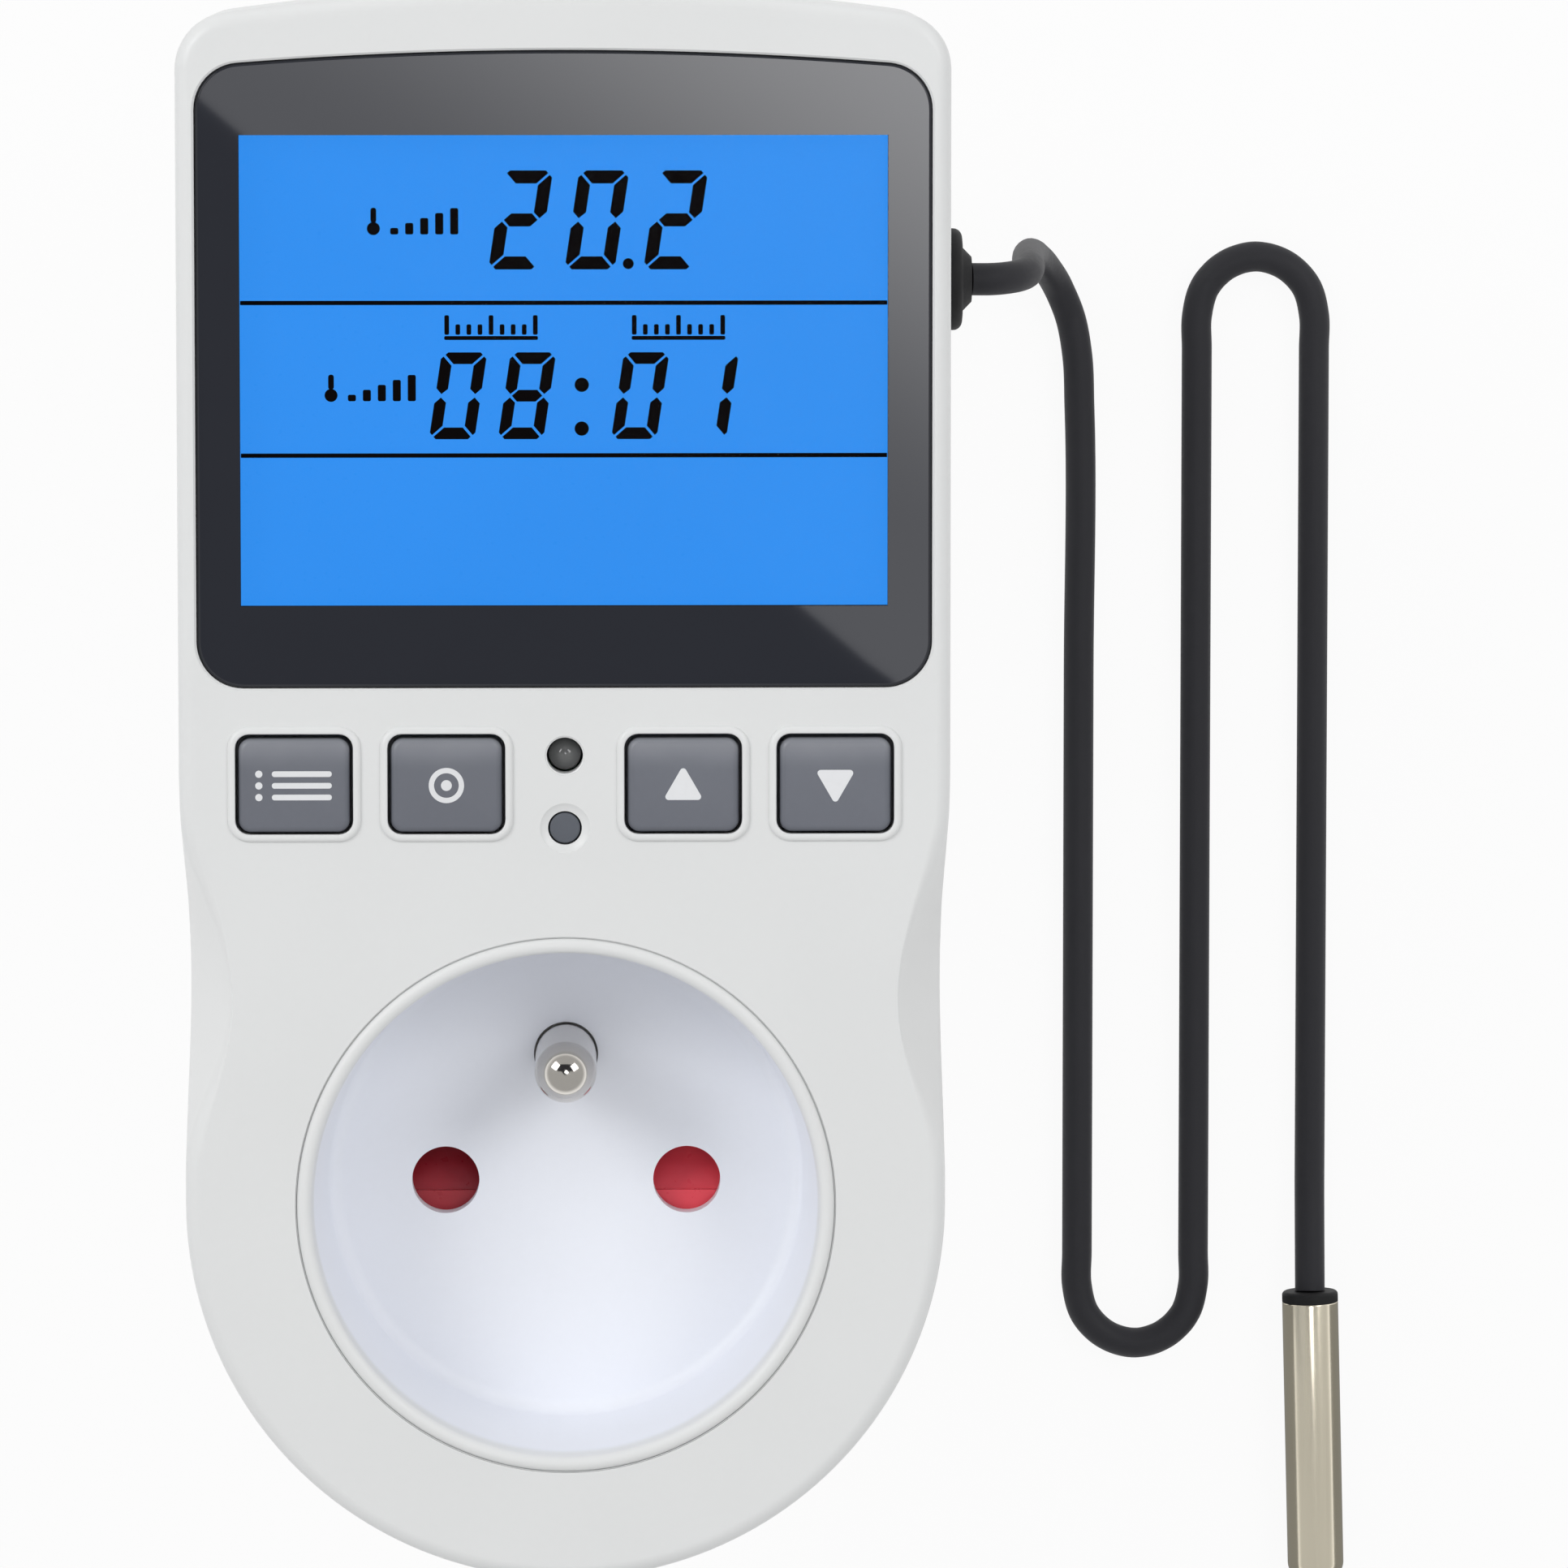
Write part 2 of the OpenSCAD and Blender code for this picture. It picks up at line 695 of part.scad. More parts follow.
// Front cover: the shell with its window, button, lamp and socket openings
module front_cover() {
    color("gainsboro")
    difference() {
        union() {
            difference() {
                outline_stack(shell_levels(split_z, front_z, front_edge_r));
                room(wall, split_z - overrun, face_under_z);
            }
            front_grip_pads();
            front_bosses();
            for (x = button_xs)
                translate([x, button_hole_y, face_under_z])
                    linear_extrude(height = face_t + lip_rise)
                        rounded_rect(
                            [button_hole_w + 2 * lip_w, button_hole_h + 2 * lip_w],
                            lip_corner_r
                        );
        }
        lens_plate(0, lens_floor_z, front_z + overrun);
        block(
            [0, view_y],
            [view_w + 2 * ledge_margin, view_h + 2 * ledge_margin],
            face_under_z - overrun,
            front_z
        );
        for (x = button_xs)
            translate([x, button_hole_y, face_under_z - overrun])
                linear_extrude(height = face_t + lip_rise + 2 * overrun)
                    rounded_rect([button_hole_w, button_hole_h], hole_corner_r);
        lamp_holes();
        post([0, 0], rim_r + cup_gap, face_under_z - overrun, front_z + overrun);
        for (side = [-1, 1])
            grip_prism(grip_depth, 0, side);
        for (p = screw_places)
            post(p, screw_r + run_gap, split_z - overrun, screw_tip_z + screw_blind);
        for (p = control_posts)
            post(p, board_screw_r + run_gap, board_top_z - overrun, board_top_z + board_screw_bite);
        groove();
        gland_cut();
    }
}

// Groove that takes the rear housing's tongue
module groove() {
    difference() {
        room(tongue_inset - seat_gap, split_z - overrun, split_z + tongue_h + seat_gap);
        room(tongue_inset + tongue_t + seat_gap, split_z - 2 * overrun, split_z + tongue_h + overrun);
        gland_gate(tongue_t);
    }
}

// Space beside the gland where the tongue and its groove stop
module gland_gate(margin) {
    block(
        [body_half, gland_y],
        [4 * wall, gland_d + 2 * margin],
        split_z - 3 * overrun,
        split_z + 3 * overrun
    );
}

// Thick wall behind the finger grips
module front_grip_pads() {
    intersection() {
        room(wall / 2, face_under_z - grip_drop, front_z - face_t / 2);
        union() {
            for (side = [-1, 1])
                grip_prism(grip_depth + wall, wall, side);
        }
    }
}

// Screw bosses and board posts under the front face
module front_bosses() {
    intersection() {
        union() {
            for (p = screw_places)
                post(p, screw_boss_r, split_z, front_z - face_t / 2);
            for (p = control_posts)
                post(p, control_post_r, board_top_z, front_z - face_t / 2);
        }
        room(wall / 2, split_z, front_z - face_t / 2);
    }
}

// Holes for the two lamps, the lower one in a shallow dish
module lamp_holes() {
    post([lamp_x, upper_lamp_y], upper_lamp_d / 2, face_under_z - overrun, front_z + overrun);
    post([lamp_x, lower_lamp_y], lower_lamp_d / 2, face_under_z - overrun, front_z + overrun);
    translate([lamp_x, lower_lamp_y, front_z - lamp_ring_depth])
        cylinder(
            h = lamp_ring_depth + lamp_ring_depth,
            r1 = lower_lamp_d / 2,
            r2 = lower_lamp_d / 2 + 2 * lamp_ring_w
        );
}

// Half round notch of the gland, in the joint of the shells
module gland_cut() {
    translate([gland_in_x - overrun, gland_y, gland_z])
        rotate([0, 90, 0])
            cylinder(h = gland_out_x - gland_in_x + overrun, r = gland_neck_r + gland_seat);
}

// Rear housing: a shell with a round hole for the plug body
module rear_housing() {
    color("gainsboro")
    difference() {
        union() {
            difference() {
                outline_stack(lifted(shell_levels(split_z, back_z, back_edge_r)));
                room(wall, inner_back_z, split_z + overrun);
            }
            rear_bosses();
            difference() {
                room(tongue_inset, split_z - wall, split_z + tongue_h);
                room(tongue_inset + tongue_t, split_z - wall - overrun, split_z + tongue_h + overrun);
                gland_gate(2 * tongue_t);
            }
        }
        post([0, 0], plug_r + seat_gap, back_z - overrun, inner_back_z + overrun);
        for (p = screw_places) {
            post(p, screw_head_r + seat_gap, back_z - overrun, screw_head_z);
            post(p, screw_hole_r, back_z - overrun, split_z + overrun);
        }
        for (p = power_posts)
            post(p, board_screw_r + run_gap, power_low_z - board_screw_bite, power_low_z + overrun);
        gland_cut();
    }
}

// Outline of the plug body, with its guide grooves and clip slots
module plug_outline(margin) {
    difference() {
        circle(r = plug_r - margin, $fn = 96);
        for (side = [-1, 1]) {
            translate([side * plug_r, 0])
                square([2 * (guide_depth + margin), guide_w + 2 * margin], center = true);
            translate([0, side * plug_r])
                square([clip_slot_w + 2 * margin, 2 * (clip_slot_depth + margin)], center = true);
        }
    }
}
module plug_post() {
    intersection() {
        linear_extrude(height = inner_back_z)
            plug_outline(0);
        rotate_extrude($fn = 96)
            polygon(concat(
                [[0, 0]],
                arc([plug_r - plug_edge_r, plug_edge_r], plug_edge_r, 270, 360, 5),
                [[plug_r, inner_back_z], [0, inner_back_z]]
            ));
    }
}

// Plug body: face, grooved wall, and a flange that sits on the back wall
module plug_body() {
    color("gainsboro")
    difference() {
        union() {
            plug_post();
            post([0, 0], plug_r, back_z, inner_back_z);
            difference() {
                post([0, 0], plug_r + plug_flange_w, inner_back_z, carrier_top_z);
                post([0, 0], plug_r, inner_back_z, carrier_top_z + overrun);
            }
        }
        plug_room();
        for (x = [-pin_x, pin_x])
            post([x, 0], pin_d / 2 - pin_neck + run_gap, -overrun, plug_face_t + overrun);
        post([0, earth_offset], earth_hole_d / 2, -overrun, plug_face_t + overrun);
    }
}
module plug_room() {
    translate([0, 0, plug_face_t])
        linear_extrude(height = inner_back_z - plug_face_t + overrun)
            plug_outline(wall);
    for (side = [-1, 1])
        block(
            [0, side * (plug_r - clip_slot_depth - wall / 2)],
            [clip_w + 2 * seat_gap, wall + clip_slot_depth],
            plug_face_t,
            plug_face_t + clip_slot_h
        );
}

// Screw bosses and board posts on the back wall
module rear_bosses() {
    intersection() {
        union() {
            for (p = screw_places)
                post(p, screw_boss_r + wall / 2, back_z + wall / 2, screw_seat_z);
            for (p = screw_places)
                post(p, screw_boss_r, back_z + wall / 2, split_z);
            for (p = power_posts)
                post(p, power_post_r, back_z + wall / 2, power_low_z);
        }
        room(wall / 2 + draft, back_z, split_z);
    }
}

// Four long screws, from the back into the front cover
module housing_screws() {
    color("silver")
    for (p = screw_places)
        translate([p[0], p[1], 0])
            rotate_extrude()
                polygon([
                    [0, screw_head_z - screw_head_h],
                    [screw_head_r - seat_gap, screw_head_z - screw_head_h],
                    [screw_head_r, screw_head_z - screw_head_h / 2],
                    [screw_head_r, screw_head_z],
                    [screw_r, screw_head_z],
                    [screw_r, screw_tip_z - screw_r],
                    [0, screw_tip_z]
                ]);
}

// Socket insert: wall, rim and retaining flange turned as one profile
module socket_insert() {
    floor_r = recess_floor_d / 2;
    top_z = front_z + rim_rise;
    color("lavender")
    rotate_extrude($fn = 128)
        polygon(concat(
            [[socket_face_r, floor_low_z], [rim_r, floor_low_z],
             [rim_r, face_under_z - cup_flange_t],
             [rim_r + cup_flange_w, face_under_z - cup_flange_t],
             [rim_r + cup_flange_w, face_under_z],
             [rim_r, face_under_z]],
            arc([rim_r - rim_round_r, top_z - rim_round_r], rim_round_r, 0, 180, 12),
            arc(
                [floor_r - cup_floor_round_r, recess_z + cup_floor_round_r],
                cup_floor_round_r, 0, -90, 6
            )
        ));
}

// Socket face: the recess's floor, with the holes for the pins
module socket_face() {
    color("lavender")
    difference() {
        post([0, 0], socket_face_r - run_gap, floor_low_z, recess_z);
        for (x = [-pin_x, pin_x])
            post([x, 0], hole_d / 2, floor_low_z - overrun, recess_z + overrun);
        post(
            [0, earth_offset], earth_pin_d / 2 + hole_gap,
            floor_low_z - overrun, recess_z + overrun
        );
    }
}

// Earth pin, from its round tip down to the stud in the carrier
module earth_pin() {
    r = earth_pin_d / 2;
    top_z = recess_z + earth_pin_h;
    color("silver")
    translate([0, earth_offset, 0])
        rotate_extrude()
            polygon(concat(
                [[0, sleeve_top_z], [earth_stud_r, sleeve_top_z],
                 [earth_stud_r, carrier_top_z],
                 [r - pin_neck, carrier_top_z],
                 [r - pin_neck, tray_low_z - earth_flange_t],
                 [earth_flange_r, tray_low_z - earth_flange_t],
                 [earth_flange_r, tray_low_z],
                 [r - pin_neck, tray_low_z],
                 [r - pin_neck, recess_z + pin_root],
                 [r, recess_z + pin_root]],
                arc([0, top_z - r], r, 0, 90, 12)
            ));
}

// Safety shutter: two ramped pads joined by a bar
module shutter() {
    color("firebrick")
    union() {
        for (side = [-1, 1])
            translate([side * pin_x - shutter_pad_w / 2, 0, 0])
                rotate([90, 0, 90])
                    linear_extrude(height = shutter_pad_w)
                        polygon([
                            [shutter_back_y, shutter_low_z],
                            [shutter_front_y, shutter_low_z],
                            [shutter_front_y, shutter_low_z + shutter_edge_t],
                            [shutter_step_y, shutter_top_z - shutter_edge_t],
                            [shutter_step_y, shutter_top_z],
                            [shutter_back_y, shutter_top_z]
                        ]);
        block(
            [0, shutter_back_y + shutter_bar_w / 2],
            [pin_spacing, shutter_bar_w],
            shutter_low_z,
            shutter_low_z + shutter_bar_t
        );
        translate([0, shutter_back_y + overrun / 2, shutter_low_z + shutter_bar_t / 2])
            rotate([90, 0, 0])
                cylinder(h = shutter_peg_l + overrun / 2, r = shutter_peg_r);
    }
}

// Tray under the shutter, with its pocket and the spring's channel
module shutter_tray() {
    color("whitesmoke")
    difference() {
        post([0, 0], tray_r, tray_low_z, floor_low_z);
        translate([-pocket_half, pocket_low_y, tray_low_z + tray_plate_t])
            cube([2 * pocket_half, pocket_high_y - pocket_low_y, shutter_t + move_gap + overrun]);
        translate([-spring_room_half, spring_room_y, tray_low_z + tray_plate_t])
            cube([2 * spring_room_half, pocket_low_y - spring_room_y + overrun, shutter_t + move_gap + overrun]);
        for (x = [-pin_x, pin_x])
            post([x, 0], pin_way_r, tray_low_z - overrun, floor_low_z);
        post(
            [0, earth_offset], earth_pin_d / 2 - pin_neck + run_gap,
            tray_low_z - overrun, floor_low_z + overrun
        );
    }
}

// Coil of the closing spring, wound by formula along the shutter's way
spring_z = shutter_low_z + shutter_bar_t / 2;
spring_low_y = spring_room_y + spring_wire_r + sliver_gap;
spring_high_y = shutter_back_y - spring_wire_r - sliver_gap;
spring_steps = spring_turns * spring_ring_steps;
spring_route = [
    for (i = [0 : spring_steps])
        let (turn = 360 * i / spring_ring_steps)
        [spring_coil_r * cos(turn),
         spring_low_y + (spring_high_y - spring_low_y) * i / spring_steps,
         spring_z + spring_coil_r * sin(turn)]
];

// Least gap between neighbouring turns of the spring, printed
spring_gap = min([
    for (i = [0 : spring_steps - spring_ring_steps])
        norm(spring_route[i + spring_ring_steps] - spring_route[i])
]) - 2 * spring_wire_r;
echo(spring_gap = spring_gap);
module shutter_spring() {
    color("silver")
    coil_tube(spring_route, spring_wire_r, spring_sides);
}

// A thin tube whose rings stand square to a coil about the Y axis
module coil_tube(route, r, sides) {
    count = len(route);
    points = [
        for (i = [0 : count - 1])
            let (out = unit([route[i][0], 0, route[i][2] - spring_z]),
                 across = unit(cross(along(route, i), out)))
            for (k = [0 : sides - 1])
                let (turn = 360 * k / sides)
                route[i] + r * (cos(turn) * out + sin(turn) * across)
    ];
    polyhedron(points = points, faces = ring_faces(count, sides), convexity = 12);
}

// Carrier on the back wall, with a tower round each contact
module contact_carrier() {
    color("dimgray")
    difference() {
        union() {
            post([0, 0], carrier_r, inner_back_z, carrier_top_z);
            for (x = [-pin_x, pin_x])
                block([x, 0], [tower_w, tower_w], inner_back_z, tray_low_z);
        }
        for (x = [-pin_x, pin_x]) {
            block(
                [x, 0],
                [tower_w - 2 * tower_wall, tower_w - 2 * tower_wall],
                carrier_top_z,
                tray_low_z + overrun
            );
            post([x, 0], pin_way_r, inner_back_z - overrun, carrier_top_z + overrun);
            block(
                [x, tower_w / 2],
                [tail_w + 2 * seat_gap, 2 * tower_wall + overrun],
                carrier_top_z,
                carrier_top_z + contact_t + seat_gap
            );
            post(
                [x - sign(x) * wire_shift, wire_up_y], wire_r + seat_gap,
                inner_back_z - overrun, carrier_top_z + overrun
            );
        }
        post([0, earth_offset], earth_stud_r + run_gap, inner_back_z - overrun, carrier_top_z + overrun);
    }
}

// Sprung contact: base with a pin hole, two leaves and a tail to the board
module fork_contact(x) {
    base_z = carrier_top_z;
    leaf_z = base_z + contact_t;
    inner_y = pin_d / 2 - leaf_pinch;
    difference() {
        union() {
            block([x, 0], [contact_w, contact_w], base_z, leaf_z);
            block([x, tail_end_y / 2], [tail_w, tail_end_y], base_z, leaf_z);
        }
        post([x, 0], pin_way_r, base_z - overrun, leaf_z + overrun);
    }
    for (side = [0, 1])
        mirror([0, side, 0])
            translate([x - leaf_w / 2, 0, 0])
                rotate([90, 0, 90])
                    linear_extrude(height = leaf_w)
                        polygon([
                            [pin_way_r + leaf_t / 2, leaf_z],
                            [pin_way_r + 2 * leaf_t, leaf_z],
                            [inner_y + leaf_t, leaf_z + leaf_h * 3 / 4],
                            [inner_y + leaf_t + leaf_flare, leaf_z + leaf_h],
                            [inner_y + leaf_flare, leaf_z + leaf_h],
                            [inner_y, leaf_z + leaf_h * 3 / 4]
                        ]);
}
module line_contact() {
    color("goldenrod")
    fork_contact(-pin_x);
}
module neutral_contact() {
    color("goldenrod")
    fork_contact(pin_x);
}

// Power pin of the plug: tip, shank, collar behind the face, and tail
module plug_pin(x) {
    r = pin_d / 2;
    translate([x, 0, 0])
        rotate_extrude()
            polygon(concat(
                [[0, -pin_length]],
                arc([r - pin_tip_r, pin_tip_r - pin_length], pin_tip_r, 270, 360, 8),
                [[r, -pin_root], [r - pin_neck, -pin_root],
                 [r - pin_neck, plug_face_t], [pin_collar_r, plug_face_t],
                 [pin_collar_r, plug_face_t + pin_collar_t],
                 [pin_tail_r, plug_face_t + pin_collar_t],
                 [pin_tail_r, pin_tail_z], [0, pin_tail_z]]
            ));
}
module plug_pin_line() {
    color("silver")
    plug_pin(-pin_x);
}
module plug_pin_neutral() {
    color("silver")
    plug_pin(pin_x);
}

// Earth bracket: a bar behind the plug face that turns up into both clip slots
module earth_bracket() {
    bar_low_z = plug_face_t + seat_gap;
    in_y = plug_r - clip_slot_depth + seat_gap;
    out_y = plug_r - clip_t - clip_proud;
    mid_z = (bar_low_z + clip_top_z) / 2;
    half = [
        [0, bar_low_z], [in_y + clip_t, bar_low_z],
        [in_y + clip_t, bar_low_z + clip_t],
        [out_y + clip_t, mid_z],
        [in_y + 2 * clip_t, clip_top_z],
        [in_y + clip_t, clip_top_z],
        [out_y, mid_z],
        [in_y, bar_low_z + 2 * clip_t],
        [in_y, bar_low_z + clip_t],
        [0, bar_low_z + clip_t]
    ];
    color("silver")
    difference() {
        union() {
            for (side = [0, 1])
                mirror([0, side, 0])
                    translate([-clip_w / 2, 0, 0])
                        rotate([90, 0, 90])
                            linear_extrude(height = clip_w)
                                polygon(half);
            post([0, earth_offset], bracket_ring_r, bar_low_z, bar_low_z + clip_t);
        }
        post([0, earth_offset], sleeve_r + sleeve_wall + seat_gap, 0, plug_face_t + overrun);
    }
}

// Earth sleeve that grips a wall socket's earth pin
module earth_sleeve() {
    color("goldenrod")
    difference() {
        post([0, earth_offset], sleeve_r + sleeve_wall, plug_face_t + sleeve_lift, sleeve_top_z);
        post([0, earth_offset], sleeve_r, plug_face_t, sleeve_top_z - sleeve_cap_t);
    }
}

// Way of a supply wire, from a plug pin's tail at x up to the power board at end_x
function supply_route(x, end_x) = [
    [x, 0, pin_tail_z], [x, 0, wire_low_z - wire_r],
    [x, wire_r, wire_low_z], [end_x, wire_up_y - wire_r, wire_low_z],
    [end_x, wire_up_y, wire_low_z + wire_r], [end_x, wire_up_y, wire_high_z - wire_r],
    [end_x, wire_up_y + wire_r, wire_high_z], [end_x, wire_end_y - wire_r, wire_high_z],
    [end_x, wire_end_y, wire_high_z - wire_drop], [end_x, wire_end_y, power_top_z]
];

// Two insulated wires, from the plug pins' tails up to the power board
module supply_wires() {
    color("saddlebrown")
    for (side = [-1, 1])
        tube(supply_route(side * pin_x, side * (pin_x - wire_shift)), wire_r, 8, [0, 0, 1], [0, 0, -1]);
}

// Power board on its posts
module power_board() {
    color("darkolivegreen")
    difference() {
        translate([-power_half, power_y[0], power_low_z])
            cube([2 * power_half, power_y[1] - power_y[0], board_t]);
        for (p = power_posts)
            post(p, board_screw_r + seat_gap, power_low_z - overrun, power_top_z + overrun);
    }
}

// A pan head screw with its seat at the given level, pointing up or down
module board_screw(p, seat_z, down) {
    way = down ? -1 : 1;
    grip = board_t + board_screw_bite - 2 * seat_gap;
    post(
        p, board_screw_head_r,
        min(seat_z, seat_z - way * board_screw_head_t),
        max(seat_z, seat_z - way * board_screw_head_t)
    );
    post(p, board_screw_r, min(seat_z, seat_z + way * grip), max(seat_z, seat_z + way * grip));
}
module power_board_screws() {
    color("silver")
    for (p = power_posts)
        board_screw(p, power_top_z, true);
}

// Relay that switches the socket
module relay() {
    color("royalblue")
    block(on_power(relay_at_shares), [relay_w, relay_l], power_top_z, power_top_z + relay_h);
}

// Film capacitor of the supply
module film_capacitor() {
    color("gold")
    block(on_power(film_at_shares), [film_w, film_l], power_top_z, power_top_z + film_h);
}

// Reservoir capacitor: a can with a rolled groove near its foot
module reservoir_capacitor() {
    groove_z = power_top_z + reservoir_h / 5;
    groove_w = reservoir_r / 8;
    color("darkslategray")
    translate(on_power(reservoir_at_shares))
        rotate_extrude()
            polygon([
                [0, power_top_z], [reservoir_r, power_top_z],
                [reservoir_r, groove_z - groove_w],
                [reservoir_r - groove_w, groove_z],
                [reservoir_r, groove_z + groove_w],
                [reservoir_r, power_top_z + reservoir_h - groove_w],
                [reservoir_r - groove_w, power_top_z + reservoir_h],
                [0, power_top_z + reservoir_h]
            ]);
}

// Disc varistor, standing on its two leads
module varistor() {
    disc_z = power_top_z + lead_rise + varistor_r;
    at = on_power(varistor_at_shares);
    color("steelblue")
    union() {
        translate([at[0], at[1] + varistor_t / 2, disc_z])
            rotate([90, 0, 0])
                cylinder(h = varistor_t, r = varistor_r);
        for (x = [-varistor_r / 2, varistor_r / 2])
            post([at[0] + x, at[1]], lead_r, power_top_z, disc_z - varistor_r / 2);
    }
}

// A body that lies on two leads bent down to the board
module axial_body(at, r, length) {
    axis_z = power_top_z + r;
    translate([at[0] - length / 2, at[1], axis_z])
        rotate([0, 90, 0])
            cylinder(h = length, r = r);
    for (side = [-1, 1]) {
        translate([at[0] + side * length / 2 - lead_rise, at[1], axis_z])
            rotate([0, 90, 0])
                cylinder(h = 2 * lead_rise, r = lead_r);
        post(
            [at[0] + side * (length / 2 + lead_rise), at[1]], lead_r + sliver_gap,
            power_top_z, axis_z + lead_r + sliver_gap
        );
    }
}
module fuse() {
    color("beige")
    axial_body(on_power(fuse_at_shares), fuse_r, fuse_l);
}
module rectifier_diodes() {
    color("black")
    for (column = [0, 1], row = [0, 1])
        axial_body(
            on_power(diode_at_shares) + [2 * column * diode_l, row * diode_spacing],
            diode_r, diode_l
        );
}

// Pin header between the boards
module board_link() {
    link_l = link_pins * link_spacing;
    color("black")
    union() {
        block(link_at, [link_l, link_body_w], power_top_z, power_top_z + link_body_h);
        block(link_at, [link_l, link_body_w], board_low_z - link_body_h, board_low_z);
        for (i = [0 : link_pins - 1])
            block(
                [link_at[0] + (i - (link_pins - 1) / 2) * link_spacing, link_at[1]],
                [link_pin_w, link_pin_w],
                power_top_z,
                board_low_z
            );
    }
}

// Control board under the display and the buttons
module control_board() {
    color("darkgreen")
    difference() {
        translate([-control_half, control_y[0], board_low_z])
            cube([2 * control_half, control_y[1] - control_y[0], board_t]);
        for (p = control_posts)
            post(p, board_screw_r + seat_gap, board_low_z - overrun, board_top_z + overrun);
    }
}
module control_board_screws() {
    color("silver")
    for (p = control_posts)
        board_screw(p, board_low_z, false);
}

// Processor under the control board
module microcontroller() {
    color("black")
    block(on_control(chip_at_shares), [chip_w, chip_w], board_low_z - chip_t, board_low_z);
}

// Watch crystal that keeps the time
module clock_crystal() {
    at = on_control(crystal_at_shares);
    color("silver")
    translate([at[0] - crystal_l / 2, at[1], board_low_z - crystal_r])
        rotate([0, 90, 0])
            cylinder(h = crystal_l, r = crystal_r);
}

// Bodies of the four tactile switches, each with a well for its stem
module tact_switches() {
    color("darkgray")
    for (x = button_xs)
        difference() {
            block([x, button_y], [switch_w, switch_w], board_top_z, switch_top_z);
            post(
                [x, button_y], switch_stem_r + run_gap,
                switch_top_z - stem_bury - button_travel - stem_floor_gap, switch_top_z + overrun
            );
        }
}

// Stem of one tactile switch, pressed by the button's post
module switch_stem(x) {
    color("dimgray")
    post([x, button_y], switch_stem_r, switch_top_z - stem_bury, stem_top_z);
}
module mode_stem() { switch_stem(button_xs[0]); }
module set_stem() { switch_stem(button_xs[1]); }
module up_stem() { switch_stem(button_xs[2]); }
module down_stem() { switch_stem(button_xs[3]); }

// Button cap: a plate with a flange under the front face and a post to the switch
module button_cap(x) {
    color("gray")
    translate([x, button_y, 0])
        union() {
            translate([0, 0, button_flange_z - button_flange_t])
                linear_extrude(height = button_top_z - button_flange_z + button_flange_t)
                    rounded_rect([button_w, button_h], button_corner_r);
            translate([0, 0, button_flange_z - button_flange_t])
                linear_extrude(height = button_flange_t)
                    rounded_rect(
                        [button_w + 2 * button_flange_lip, button_h + 2 * button_flange_lip],
                        button_corner_r + button_flange_lip
                    );
            post([0, 0], button_post_r, stem_top_z, button_flange_z);
        }
}
module mode_button() { button_cap(button_xs[0]); }
module set_button() { button_cap(button_xs[1]); }
module up_button() { button_cap(button_xs[2]); }
module down_button() { button_cap(button_xs[3]); }

// Lamp: a round body with a flange on the board, domed or flat on top
module lamp(y, r, top_z, domed) {
    dome_z = domed ? top_z - r : top_z;
    translate([lamp_x, y, 0])
        rotate_extrude()
            polygon(concat(
                [[0, board_top_z], [r + lamp_flange_rim, board_top_z],
                 [r + lamp_flange_rim, board_top_z + lamp_flange_t],
                 [r, board_top_z + lamp_flange_t]],
                domed ? arc([0, dome_z], r, 0, 90, 8) : [[r, top_z], [0, top_z]]
            ));
}
module upper_lamp() {
    color("slategray")
    lamp(upper_lamp_y, upper_lamp_d / 2 - lamp_gap, front_z - upper_lamp_sink, true);
}
module lower_lamp() {
    color("slategray")
    lamp(lower_lamp_y, lower_lamp_d / 2 - lamp_gap, front_z - lower_lamp_sink, false);
}

// Display lens, its tape, and the stack behind it
module display_lens() {
    color("darkslategray")
    lens_plate(seat_gap, lens_low_z, lens_top_z);
}
module lens_tape() {
    color("black")
    difference() {
        lens_plate(seat_gap + mask_margin, lens_floor_z, lens_low_z);
        block(
            [0, view_y],
            [view_w + 2 * ledge_margin, view_h + 2 * ledge_margin],
            lens_floor_z - overrun,
            lens_low_z + overrun
        );
    }
}
module lcd_glass() {
    color("dodgerblue")
    block([0, lcd_y], [lcd_w, lcd_h], lcd_low_z, face_under_z);
}
module backlight() {
    low_y = lcd_low_y + strip_edge + strip_w + light_inset;
    color("aliceblue")
    block(
        [0, (low_y + lcd_high_y - light_inset) / 2],
        [lcd_w - 2 * light_inset, lcd_high_y - light_inset - low_y],
        board_top_z,
        lcd_low_z
    );
}
module contact_strip() {
    color("hotpink")
    block(
        [0, lcd_low_y + strip_edge + strip_w / 2],
        [lcd_w - 2 * strip_end, strip_w],
        board_top_z,
        lcd_low_z
    );
}
module lcd_holder() {
    color("white")
    difference() {
        block(
            [0, lcd_y],
            [lcd_w + 2 * (seat_gap + holder_t), lcd_h + 2 * (seat_gap + holder_t)],
            board_top_z,
            face_under_z - holder_drop
        );
        block(
            [0, lcd_y],
            [lcd_w + 2 * seat_gap, lcd_h + 2 * seat_gap],
            board_top_z - overrun,
            face_under_z
        );
    }
}

